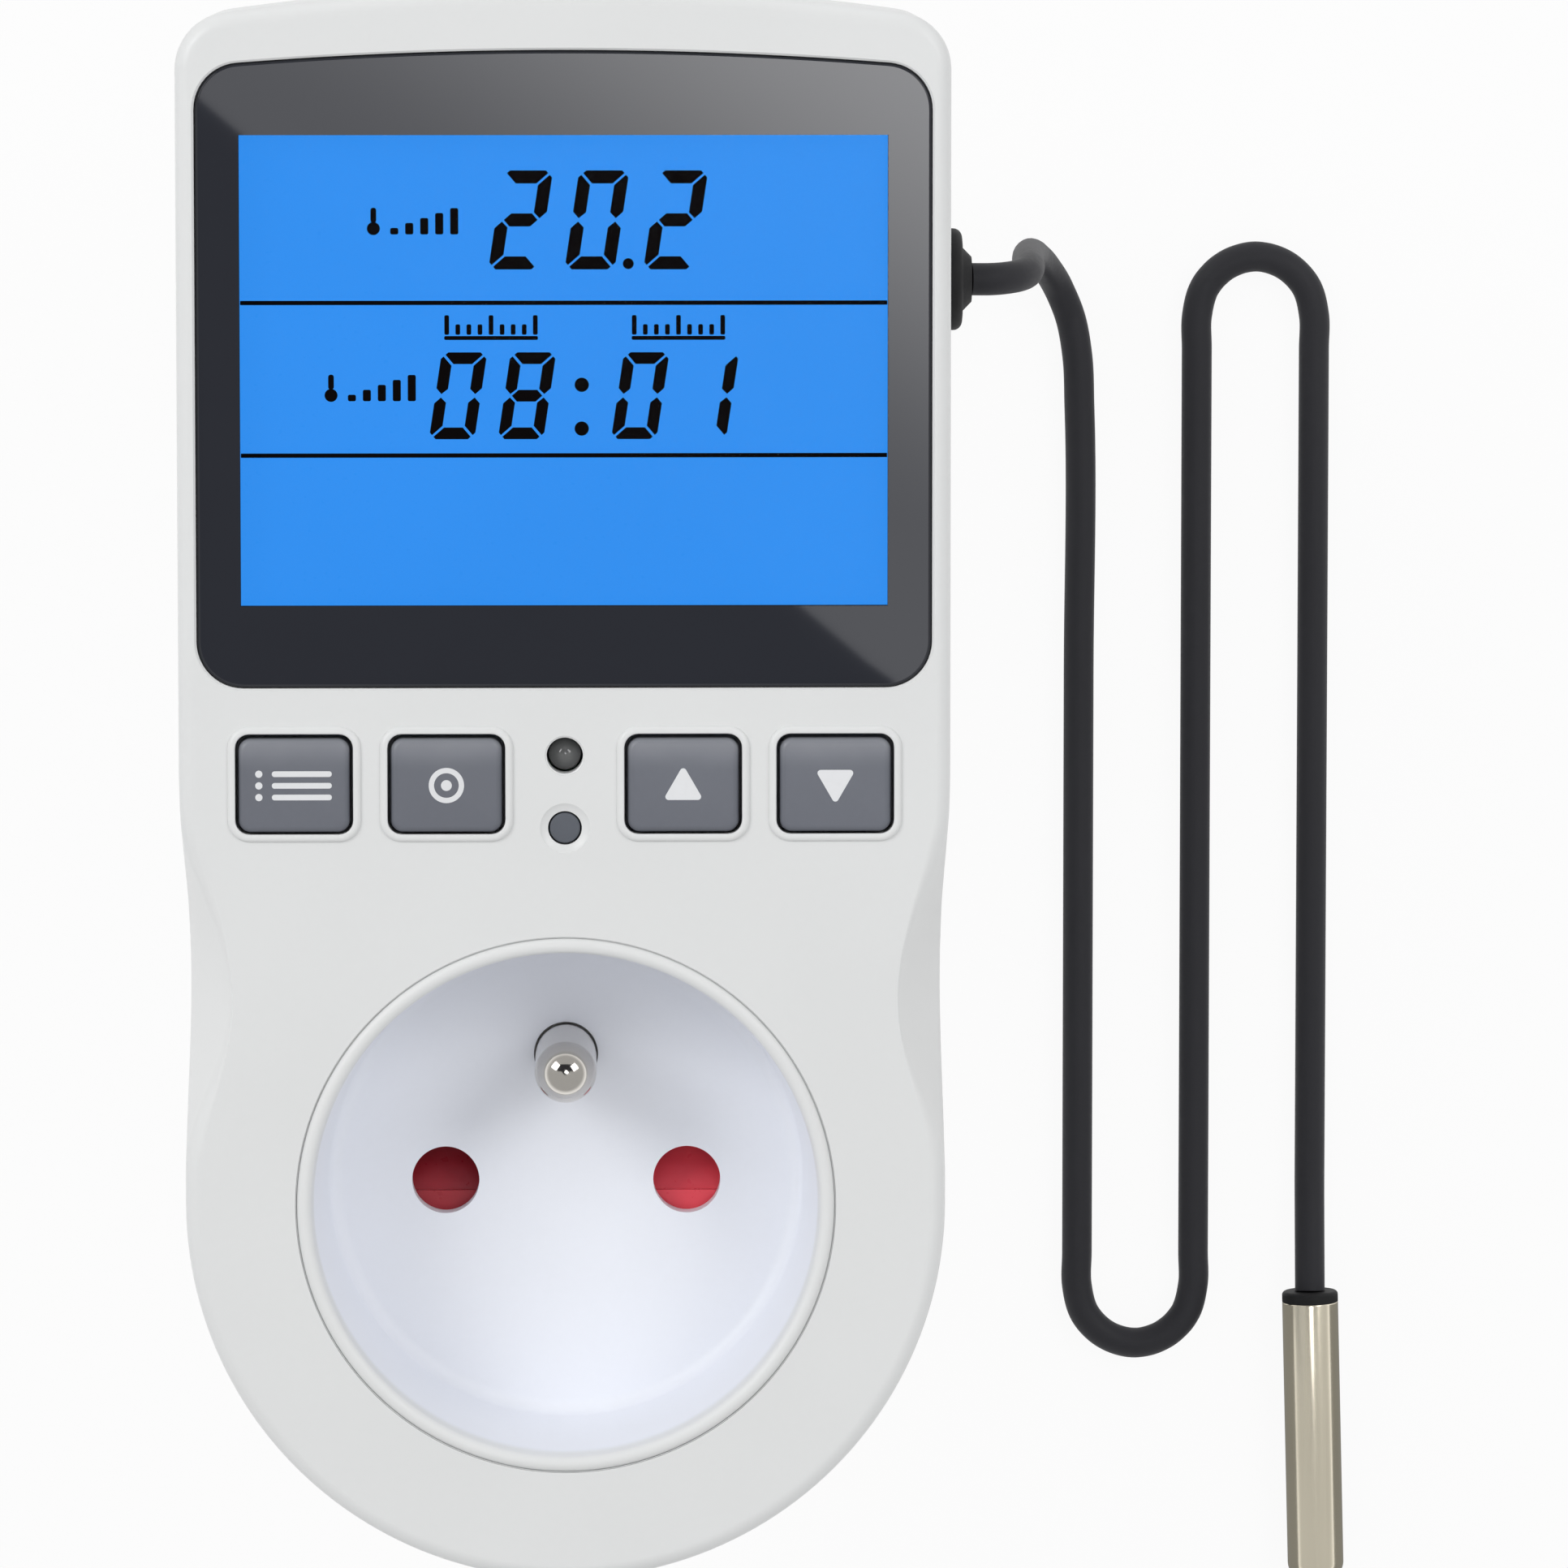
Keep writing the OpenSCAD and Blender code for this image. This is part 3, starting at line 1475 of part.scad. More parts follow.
// Cable gland: outer flange, neck in the shells' joint, inner flange, and bore
module cable_gland() {
    color("black")
    translate([gland_in_x, gland_y, gland_z])
        rotate([0, 90, 0])
            rotate_extrude()
                polygon(concat(
                    [[cord_r + lead_gap, 0], [gland_inner_r, 0],
                     [gland_inner_r, gland_inner_t],
                     [gland_neck_r, gland_inner_t],
                     [gland_neck_r, gland_x - gland_in_x],
                     [gland_d / 2, gland_x - gland_in_x]],
                    arc(
                        [gland_d / 2 - gland_edge_r, gland_x - gland_in_x + gland_flange_t - gland_edge_r],
                        gland_edge_r, 0, 90, 5
                    ),
                    [[cord_d, gland_x - gland_in_x + gland_flange_t],
                     [cord_r + wall / 4, gland_out_x - gland_in_x],
                     [cord_r + lead_gap, gland_out_x - gland_in_x]]
                ));
}

// The cord's inner end: through the gland, then up to its connector
module sensor_lead() {
    color("black")
    union() {
        translate([lead_turn_x, gland_y, gland_z])
            rotate([0, 90, 0])
                cylinder(h = gland_out_x - lead_turn_x, r = cord_r);
        translate([lead_turn_x, gland_y, gland_z + lead_bend_r])
            rotate([90, 0, 0])
                rotate_extrude(angle = 90, start = 180)
                    translate([lead_bend_r, 0])
                        circle(r = cord_r, $fn = 32);
    }
}
module sensor_connector() {
    color("ivory")
    block(
        [lead_turn_x - lead_bend_r, gland_y],
        [connector_w, connector_y],
        gland_z + lead_bend_r,
        board_low_z
    );
}

// The free cord, from the gland to the probe
module sensor_cord() {
    color("black")
    tube(cord_route, cord_r, cord_sides, [1, 0, 0], [sin(probe_lean), -cos(probe_lean), 0]);
}

// Puts a shape that is turned about Z at the probe's end of the cord
module at_probe() {
    translate(cord_end)
        rotate([0, 0, probe_lean])
            rotate([90, 0, 0])
                children();
}
module probe_seal() {
    color("black")
    at_probe()
        rotate_extrude()
            polygon([
                [0, 0], [probe_r - probe_wall, 0], [probe_r, probe_wall], [probe_r, seal_t],
                [probe_r - probe_wall - probe_fit, seal_t],
                [probe_r - probe_wall - probe_fit, seal_t + seal_plug_l],
                [0, seal_t + seal_plug_l]
            ]);
}
module probe_tube() {
    tip_z = seal_t + probe_length;
    tip_r = probe_r * 2 / 3;
    inner_r = probe_r - probe_wall;
    inner_tip_r = tip_r - probe_wall;
    color("tan")
    at_probe()
        rotate_extrude()
            polygon(concat(
                [[inner_r, seal_t], [probe_r, seal_t]],
                arc([probe_r - tip_r, tip_z - tip_r], tip_r, 0, 90, 8),
                [[0, tip_z], [0, tip_z - probe_wall]],
                arc([inner_r - inner_tip_r, tip_z - probe_wall - inner_tip_r], inner_tip_r, 90, 0, 6)
            ));
}
module sensor_core() {
    low_z = seal_t + seal_plug_l;
    tip_z = seal_t + probe_length - probe_wall - probe_fit;
    core_r = probe_r - probe_wall - probe_fit;
    tip_r = probe_r * 2 / 3 - probe_wall;
    color("dimgray")
    at_probe()
        rotate_extrude()
            polygon(concat(
                [[0, low_z], [core_r, low_z]],
                arc([core_r - tip_r, tip_z - tip_r], tip_r, 0, 90, 6),
                [[0, tip_z]]
            ));
}

front_cover();
rear_housing();
plug_body();
housing_screws();
socket_insert();
socket_face();
earth_pin();
shutter();
shutter_spring();
shutter_tray();
contact_carrier();
line_contact();
neutral_contact();
plug_pin_line();
plug_pin_neutral();
earth_bracket();
earth_sleeve();
supply_wires();
power_board();
power_board_screws();
relay();
film_capacitor();
reservoir_capacitor();
varistor();
fuse();
rectifier_diodes();
board_link();
control_board();
control_board_screws();
microcontroller();
clock_crystal();
tact_switches();
mode_stem();
set_stem();
up_stem();
down_stem();
mode_button();
set_button();
up_button();
down_button();
upper_lamp();
lower_lamp();
display_lens();
lens_tape();
lcd_holder();
lcd_glass();
backlight();
contact_strip();
cable_gland();
sensor_lead();
sensor_connector();
sensor_cord();
probe_seal();
probe_tube();
sensor_core();
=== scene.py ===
"""Plug-in temperature controller: pieces, finishes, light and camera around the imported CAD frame."""

import json
import logging
import math
from dataclasses import dataclass, field, replace
from enum import Enum
from typing import Callable, ClassVar, Sequence, Union

import bmesh
import bpy
import numpy as np
from mathutils import Matrix, Vector


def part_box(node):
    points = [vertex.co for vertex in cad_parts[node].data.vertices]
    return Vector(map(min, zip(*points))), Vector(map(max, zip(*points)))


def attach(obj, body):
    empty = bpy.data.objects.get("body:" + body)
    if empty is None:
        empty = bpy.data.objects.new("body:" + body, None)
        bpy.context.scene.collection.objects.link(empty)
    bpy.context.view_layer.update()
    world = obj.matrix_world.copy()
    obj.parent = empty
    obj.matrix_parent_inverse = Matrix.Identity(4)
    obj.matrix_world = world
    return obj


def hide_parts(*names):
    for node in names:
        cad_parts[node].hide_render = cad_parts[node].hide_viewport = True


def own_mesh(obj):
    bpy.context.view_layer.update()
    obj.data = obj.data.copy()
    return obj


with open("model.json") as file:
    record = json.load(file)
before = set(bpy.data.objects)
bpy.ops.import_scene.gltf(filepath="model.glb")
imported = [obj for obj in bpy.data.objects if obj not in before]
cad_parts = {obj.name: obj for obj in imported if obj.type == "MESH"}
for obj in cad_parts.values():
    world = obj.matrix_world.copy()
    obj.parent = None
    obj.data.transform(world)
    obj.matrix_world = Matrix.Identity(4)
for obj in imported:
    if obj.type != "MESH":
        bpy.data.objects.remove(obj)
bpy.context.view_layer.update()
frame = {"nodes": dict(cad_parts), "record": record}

NODES: dict[str, bpy.types.Object] = frame["nodes"]
HOUSING = "housing"
MM = 0.001
THROUGH = 1.0  # How far a cutter reaches past what it cuts, in millimetres.
SUNK = 0.5  # How far a post or a lip runs into the wall that carries it, in millimetres.
SAME_POINT = 2e-7  # Points nearer than this, in metres, are merged.
NO_LENGTH = 1e-8  # Edges shorter than this, in metres, are dissolved.
ASLANT = (0.5, 0.5, 0.7)  # A direction that no route here ever takes.

Colour = tuple[float, float, float]
log = logging.getLogger("controller")


# Shader maths


class Signal:
    """A node socket that takes part in Python arithmetic; an expression adds its Math nodes."""

    def __init__(self, bench: "Bench", socket: bpy.types.NodeSocket) -> None:
        """Wraps a socket.

        Args:
            bench: The material that the socket belongs to.
            socket: An output socket that carries a number.
        """
        self.bench = bench
        self.socket = socket

    def math(self, operation: str, *values: "Value") -> "Signal":
        """Adds a Math node.

        Args:
            operation: The node's operation.
            values: What goes into its sockets, in order.

        Returns:
            The node's result.
        """
        node = self.bench.node(
            "ShaderNodeMath", {"operation": operation}, dict(enumerate(values))
        )
        return Signal(self.bench, node.outputs[0])

    def __add__(self, other: "Value") -> "Signal":
        """Sum."""
        return self.math("ADD", self, other)

    __radd__ = __add__

    def __sub__(self, other: "Value") -> "Signal":
        """Difference."""
        return self.math("SUBTRACT", self, other)

    def __rsub__(self, other: "Value") -> "Signal":
        """Reflected difference."""
        return self.math("SUBTRACT", other, self)

    def __mul__(self, other: "Value") -> "Signal":
        """Product."""
        return self.math("MULTIPLY", self, other)

    __rmul__ = __mul__

    def __abs__(self) -> "Signal":
        """Size without its sign."""
        return self.math("ABSOLUTE", self)

    def larger(self, other: "Value") -> "Signal":
        """The larger of two numbers."""
        return self.math("MAXIMUM", self, other)

    def root(self) -> "Signal":
        """Square root."""
        return self.math("SQRT", self)

    def band(self, low: float, high: float) -> "Signal":
        """A smooth step from 0 at low to 1 at high.

        Args:
            low: Where the step begins.
            high: Where it ends, which may be below low.

        Returns:
            The step, held between 0 and 1.
        """
        settings = {"interpolation_type": "SMOOTHSTEP"}
        node = self.bench.node("ShaderNodeMapRange", settings, {0: self, 1: low, 2: high})
        return Signal(self.bench, node.outputs[0])


Value = Union[Signal, bpy.types.NodeSocket, float, tuple]


class Bench:
    """One material, or the world, under construction."""

    def __init__(self, name: str, kind: Callable = bpy.data.materials.new) -> None:
        """Starts an empty node tree.

        Args:
            name: The material's name.
            kind: What makes the block that holds the tree.
        """
        self.owner = kind(name)
        self.owner.use_nodes = True
        self.tree = self.owner.node_tree
        self.tree.nodes.clear()

    def node(self, kind: str, settings: dict, values: dict) -> bpy.types.Node:
        """Adds any node.

        Args:
            kind: The node's type.
            settings: Its properties, which are set first.
            values: What goes into its sockets, by name or place.

        Returns:
            The node.
        """
        made = self.tree.nodes.new(kind)
        for name, setting in settings.items():
            setattr(made, name, setting)
        for key, value in values.items():
            if isinstance(value, Signal):
                value = value.socket
            if isinstance(value, bpy.types.NodeSocket):
                self.tree.links.new(value, made.inputs[key])
            elif isinstance(value, tuple) and made.inputs[key].type == "RGBA":
                made.inputs[key].default_value = (*value[:3], 1.0)
            else:
                made.inputs[key].default_value = value
        return made

    def place(self) -> bpy.types.NodeSocket:
        """The point on the object, in metres."""
        return self.node("ShaderNodeTexCoord", {}, {}).outputs["Object"]

    def axes(self) -> tuple[Signal, Signal, Signal]:
        """The point's x, y and z as three numbers."""
        split = self.node("ShaderNodeSeparateXYZ", {}, {0: self.place()})
        return tuple(Signal(self, split.outputs[i]) for i in range(3))

    def stretched(self, scale: Colour) -> bpy.types.NodeSocket:
        """The point with each axis multiplied.

        Args:
            scale: What each axis is multiplied by.

        Returns:
            The scaled point.
        """
        values = {"Vector": self.place(), "Scale": scale}
        return self.node("ShaderNodeMapping", {}, values).outputs[0]

    def noise(self, cell: float, detail: float = 2.0, scale: Colour | None = None) -> Signal:
        """A cloud of values around a half.

        Args:
            cell: Size of a cloud in metres.
            detail: How many finer layers it has.
            scale: What each axis is multiplied by first.

        Returns:
            The cloud's value.
        """
        point = self.place() if scale is None else self.stretched(scale)
        values = {"Vector": point, "Scale": 1.0 / cell, "Detail": detail}
        return Signal(self, self.node("ShaderNodeTexNoise", {}, values).outputs[0])

    def blend(self, share: Value, first: Value, second: Value) -> bpy.types.NodeSocket:
        """Mixes two colours.

        Args:
            share: How much of the second colour shows.
            first: Colour at share 0.
            second: Colour at share 1.

        Returns:
            The mixed colour.
        """
        values = {0: share, 6: first, 7: second}
        return self.node("ShaderNodeMix", {"data_type": "RGBA"}, values).outputs[2]

    def bump(self, height: Value, depth: float) -> bpy.types.NodeSocket:
        """Relief from a height between 0 and 1.

        Args:
            height: The height.
            depth: What a height of 1 stands for, in metres.

        Returns:
            The bent normal.
        """
        values = {"Strength": 1.0, "Distance": depth, "Height": height}
        return self.node("ShaderNodeBump", {}, values).outputs[0]

    def output(self, shader: bpy.types.NodeSocket) -> bpy.types.Material:
        """Ends the material.

        Args:
            shader: What the surface shows.

        Returns:
            The material.
        """
        self.node("ShaderNodeOutputMaterial", {}, {"Surface": shader})
        return self.owner


# Finishes


class Texture(Enum):
    """How the fine detail of a surface runs."""

    GRAIN = "even grain of a moulding tool"
    DRAWN_X = "fine lines along x"
    DRAWN_Y = "fine lines along y"
    DRAWN_Z = "fine lines along z"
    TRACKS = "tracks under lacquer"
    LAYERS = "thin layers along the strip"


@dataclass(frozen=True)
class Finish:
    """A surface with colour drift, a rough and a smooth share, and fine relief."""

    squeeze: ClassVar[dict[Texture, Colour]] = {
        Texture.DRAWN_X: (0.02, 1.0, 1.0),
        Texture.DRAWN_Y: (1.0, 0.02, 1.0),
        Texture.DRAWN_Z: (1.0, 1.0, 0.02),
        Texture.LAYERS: (1.0, 0.01, 0.01),
        Texture.TRACKS: (1.0, 1.0, 0.0),
    }
    track_edge: ClassVar[tuple[float, float]] = (0.10, 0.16)
    fine_layers: ClassVar[float] = 3.0
    slow_cell: ClassVar[float] = 0.012
    slow_share: ClassVar[float] = 0.7
    drift_band: ClassVar[tuple[float, float]] = (0.75, 0.25)
    rough_swing: ClassVar[float] = 0.16

    colour: Colour
    roughness: float = 0.42
    metallic: float = 0.0
    texture: Texture = Texture.GRAIN
    cell: float = 0.00045
    relief: float = 0.000004
    drift: float = 0.03
    coat: float = 0.0
    specular: float = 0.5
    shade: Colour | None = None

    def detail(self, bench: Bench) -> Signal:
        """The fine height of the surface, from 0 to 1.

        Args:
            bench: The material.

        Returns:
            Noise, stretched along the axis that the texture names, or a net of tracks.
        """
        scale = self.squeeze.get(self.texture)
        if self.texture is Texture.TRACKS:
            values = {"Vector": bench.stretched(scale), "Scale": 1.0 / self.cell}
            settings = {"feature": "DISTANCE_TO_EDGE", "distance": "EUCLIDEAN"}
            edge = bench.node("ShaderNodeTexVoronoi", settings, values).outputs[0]
            return Signal(bench, edge).band(*self.track_edge)
        return bench.noise(self.cell, self.fine_layers, scale)

    def colour_at(self, bench: Bench, fine: Signal) -> bpy.types.NodeSocket:
        """The colour, drifting slowly and a little with the fine detail.

        Args:
            bench: The material.
            fine: The fine height.

        Returns:
            The colour.
        """
        if self.shade is not None:
            return bench.blend(fine, self.shade, self.colour)
        dark = tuple(c * (1.0 - 2.0 * self.drift) for c in self.colour)
        slow = bench.noise(self.slow_cell, 1.0)
        cloud = slow * self.slow_share + fine * (1.0 - self.slow_share)
        return bench.blend(cloud.band(*self.drift_band), self.colour, dark)

    def surface(self, bench: Bench) -> dict:
        """What feeds the Principled shader.

        Args:
            bench: The material.

        Returns:
            Values and links by socket name.
        """
        fine = self.detail(bench)
        return {
            "Base Color": self.colour_at(bench, fine),
            "Roughness": (fine - 0.5) * self.rough_swing + self.roughness,
            "Metallic": self.metallic,
            "Coat Weight": self.coat,
            "Specular IOR Level": self.specular,
            "Normal": bench.bump(fine, self.relief),
        }

    def material(self, name: str) -> bpy.types.Material:
        """Builds the material.

        Args:
            name: Its name.

        Returns:
            The material.
        """
        bench = Bench(name)
        shader = bench.node("ShaderNodeBsdfPrincipled", {}, self.surface(bench))
        return bench.output(shader.outputs[0])


@dataclass(frozen=True)
class LitGlass(Finish):
    """Display glass that its light guide lights evenly from behind."""

    glow: Colour = (0.027, 0.265, 0.845)
    dimmest: float = 0.97
    patch: float = 0.02
    patch_band: tuple[float, float] = (0.2, 0.8)

    def surface(self, bench: Bench) -> dict:
        """Adds an even glow, a shade dimmer in slow patches.

        Args:
            bench: The material.

        Returns:
            Values and links by socket name.
        """
        values = super().surface(bench)
        bright = bench.noise(self.patch, 1.0).band(*self.patch_band)
        dim = tuple(c * self.dimmest for c in self.glow)
        values["Emission Color"] = bench.blend(bright, dim, self.glow)
        values["Emission Strength"] = 1.0
        return values


@dataclass(frozen=True)
class PrintedLens(Finish):
    """Clear lens with a dark print behind it, left clear over the picture."""

    window: tuple[float, float, float, float] = (0.0, 0.0, 0.01, 0.01)
    clear: float = 0.01
    blur: float = 0.00002

    def surface(self, bench: Bench) -> dict:
        """Opens the print inside the window's box, by the larger of the two offsets from it.

        Args:
            bench: The material.

        Returns:
            Values and links by socket name.
        """
        values = super().surface(bench)
        x, y, _ = bench.axes()
        centre_x, centre_y, half_w, half_h = self.window
        aside = abs(x - centre_x) - half_w
        above = abs(y - centre_y) - half_h
        outside = aside.larger(above).band(-self.blur, self.blur)
        values["Alpha"] = outside * (1.0 - self.clear) + self.clear
        values["Roughness"] = self.roughness
        return values


@dataclass(frozen=True)
class RecessPlastic(Finish):
    """Pale recess plastic whose rim is as white as the housing."""

    rim: Colour = (0.8, 0.8, 0.8)
    rim_radii: tuple[float, float] = (0.01915, 0.01955)
    rim_heights: tuple[float, float] = (0.0503, 0.0521)

    def surface(self, bench: Bench) -> dict:
        """Turns to the rim's colour where the distance from Z and the height both reach it.

        Args:
            bench: The material.

        Returns:
            Values and links by socket name.
        """
        values = super().surface(bench)
        x, y, z = bench.axes()
        on_rim = (x * x + y * y).root().band(*self.rim_radii) * z.band(*self.rim_heights)
        values["Base Color"] = bench.blend(on_rim, values["Base Color"], self.rim)
        return values


@dataclass(frozen=True)
class PaintedSideShade(Finish):
    """A moulding whose colour turns from one side of the middle to the other: painted shade on the
    left, painted light on the right.
    """

    # The other colour is the brighter one: painted light on that side.
    other: Colour = (0.8, 0.8, 0.8)
    turn: float = 0.004

    def surface(self, bench: Bench) -> dict:
        """Blends to the other colour along x, from painted shade on the left to painted light on the
        right.

        Args:
            bench: The material.

        Returns:
            Values and links by socket name.
        """
        values = super().surface(bench)
        # Painted shade on the left turning to painted light on the right.
        side = bench.axes()[0].band(-self.turn, self.turn)
        values["Base Color"] = bench.blend(side, values["Base Color"], self.other)
        return values


@dataclass(frozen=True)
class CapPaintedHighlight(Finish):
    """Key plastic with painted light: paler along the upper edge of the row, where the light falls."""

    pale: Colour = (0.5, 0.5, 0.5)
    row: tuple[float, float] = (0.0, 0.01)
    patch: float = 0.004
    wander: float = 0.001

    def surface(self, bench: Bench) -> dict:
        """Blends to the paler, painted-highlight colour along y, and a little with a slow cloud.

        Args:
            bench: The material.

        Returns:
            Values and links by socket name.
        """
        values = super().surface(bench)
        # Painted highlight: paler towards the upper edge of the row, where the light falls.
        upper = (bench.axes()[1] + bench.noise(self.patch) * self.wander).band(*self.row)
        values["Base Color"] = bench.blend(upper, values["Base Color"], self.pale)
        return values


class Finishes:
    """The object's finishes, each under the slot that the record names."""

    WHITE: Colour = (0.80, 0.81, 0.81)
    table: dict[str, Finish] = {
        "housing_plastic": Finish(WHITE, 0.36, cell=0.0006, relief=0.000003, drift=0.01),
        "insert_plastic": RecessPlastic(
            (0.91, 0.93, 0.985), 0.42, cell=0.0006, relief=0.000002, drift=0.01, rim=WHITE
        ),
        "tray_plastic": Finish((0.80, 0.80, 0.77), 0.5),
        "carrier_plastic": Finish((0.030, 0.030, 0.034), 0.5),
        # Shutter red: the darker left is painted shade, the brighter right is painted light.
        "shutter_plastic": PaintedSideShade(
            (0.47, 0.024, 0.040), 0.3, cell=0.0008, drift=0.08, other=(0.97, 0.080, 0.115)
        ),
        "nickel_plate": Finish(
            (0.60, 0.575, 0.54), 0.1, 1.0, Texture.DRAWN_Z, cell=0.0002, relief=0.0000005
        ),
        "zinc_screw": Finish((0.60, 0.62, 0.64), 0.3, 1.0, cell=0.0003),
        "spring_steel": Finish((0.50, 0.50, 0.52), 0.25, 1.0, cell=0.0003),
        "contact_brass": Finish((0.78, 0.58, 0.26), 0.28, 1.0, Texture.DRAWN_Y, cell=0.0002),
        "wire_sheath": Finish((0.20, 0.09, 0.04), 0.45),
        "board_resin": Finish(
            (0.02, 0.17, 0.06), 0.34, 0.0, Texture.TRACKS, 0.0028, 0.00002,
            coat=0.5, shade=(0.05, 0.27, 0.10)
        ),
        "relay_case": Finish((0.03, 0.14, 0.42), 0.3),
        "film_case": Finish((0.72, 0.42, 0.05), 0.3),
        "can_sleeve": Finish((0.03, 0.035, 0.055), 0.28, coat=0.4),
        "disc_coat": Finish((0.03, 0.14, 0.34), 0.42, cell=0.0009, relief=0.00003),
        "fuse_body": Finish((0.74, 0.69, 0.56), 0.35),
        "device_black": Finish((0.012, 0.012, 0.013), 0.55),
        "crystal_can": Finish((0.62, 0.62, 0.64), 0.26, 1.0, Texture.DRAWN_X, cell=0.0002),
        # Key caps: paler towards the upper edge of the row, a painted highlight.
        "button_plastic": CapPaintedHighlight(
            (0.150, 0.160, 0.190), 0.38, cell=0.0005, drift=0.04,
            pale=(0.235, 0.245, 0.275), row=(0.0342, 0.0368)
        ),
        "stem_plastic": Finish((0.03, 0.03, 0.03), 0.5),
        "lamp_resin": Finish((0.150, 0.152, 0.154), 0.14, cell=0.0012, drift=0.2, coat=0.6),
        "matte_lamp": Finish((0.125, 0.138, 0.165), 0.6, cell=0.0012, drift=0.1),
        "tape_black": Finish((0.008, 0.008, 0.008), 0.8),
        "display_blue": LitGlass((0.004, 0.02, 0.06), 0.3, specular=0.1),
        "light_guide": Finish((0.62, 0.72, 0.84), 0.15),
        "strip_rubber": Finish(
            (0.62, 0.36, 0.40), 0.6, 0.0, Texture.LAYERS, 0.0002, shade=(0.05, 0.04, 0.04)
        ),
        "gland_rubber": Finish(
            (0.012, 0.012, 0.013), 0.6, cell=0.0005, relief=0.00001, specular=0.25
        ),
        "cord_sheath": Finish(
            (0.031, 0.031, 0.036), 0.52, cell=0.0004, relief=0.00001, specular=0.2
        ),
        "probe_steel": Finish(
            (0.88, 0.81, 0.66), 0.2, 1.0, Texture.DRAWN_Y, 0.00025, 0.000001, drift=0.04
        ),
        "potting_resin": Finish((0.03, 0.03, 0.036), 0.4),
        "mark_white": Finish((0.84, 0.85, 0.87), 0.5, relief=0.0),
        "picture_ink": Finish((0.004, 0.003, 0.003), 0.9, relief=0.0, specular=0.0),
    }
    record_slots: dict[str, str] = {
        "mark_white": "tray_plastic", "picture_ink": "tape_black", "matte_lamp": "lamp_resin",
    }
    made: dict[str, bpy.types.Material] = {}

    @classmethod
    def get(cls, slot: str) -> bpy.types.Material:
        """Finds the material of a slot, which is built at its first use.

        Args:
            slot: The slot's name.

        Returns:
            The material.
        """
        if slot not in cls.made:
            cls.made[slot] = cls.table[slot].material(slot)
        return cls.made[slot]


# Shapes


def arc(centre: Sequence[float], radius: float, start: float, end: float, steps: int) -> np.ndarray:
    """Points of an arc: centre plus radius times (cos, sin) of evenly spaced angles.

    Args:
        centre: Its centre.
        radius: Its radius.
        start: First angle in degrees.
        end: Last angle in degrees.
        steps: How many steps it has.

    Returns:
        An array of (steps + 1, 2).
    """
    turn = np.radians(np.linspace(start, end, steps + 1))
    return np.asarray(centre) + radius * np.stack([np.cos(turn), np.sin(turn)], 1)


def rounded_rect(
    centre: Sequence[float], size: Sequence[float], radius: float, steps: int = 6
) -> np.ndarray:
    """Four corner arcs joined by straight sides.

    Args:
        centre: The rectangle's centre.
        size: Its width and height.
        radius: Its corner radius.
        steps: Steps of each corner.

    Returns:
        An array of (4 * (steps + 1), 2), anticlockwise.
    """
    dx, dy = size[0] / 2 - radius, size[1] / 2 - radius
    corners = ((dx, dy), (-dx, dy), (-dx, -dy), (dx, -dy))
    return np.concatenate([
        arc(np.add(centre, corner), radius, 90 * i, 90 * i + 90, steps)
        for i, corner in enumerate(corners)
    ])


def disc(centre: Sequence[float], radius: float) -> np.ndarray:
    """Twenty-four points of a circle."""
    return arc(centre, radius, 0, 345, 23)


def at_height(outline: np.ndarray, z: float) -> np.ndarray:
    """An outline as a ring of points at one height."""
    return np.column_stack([outline, np.full(len(outline), z)])


def rounded_levels(low: float, high: float, edge: float, steps: int = 4) -> list[tuple[float, float]]:
    """Heights and insets of a slab whose upper edge is a quarter round.

    Args:
        low: Its lower height.
        high: Its upper height.
        edge: The round's radius.
        steps: Steps of the round.

    Returns:
        Pairs of (height, inset).
    """
    quarter = arc((-edge, high - edge), edge, 0, 90, steps)
    return [(low, 0.0)] + [(float(z), float(-x)) for x, z in quarter]


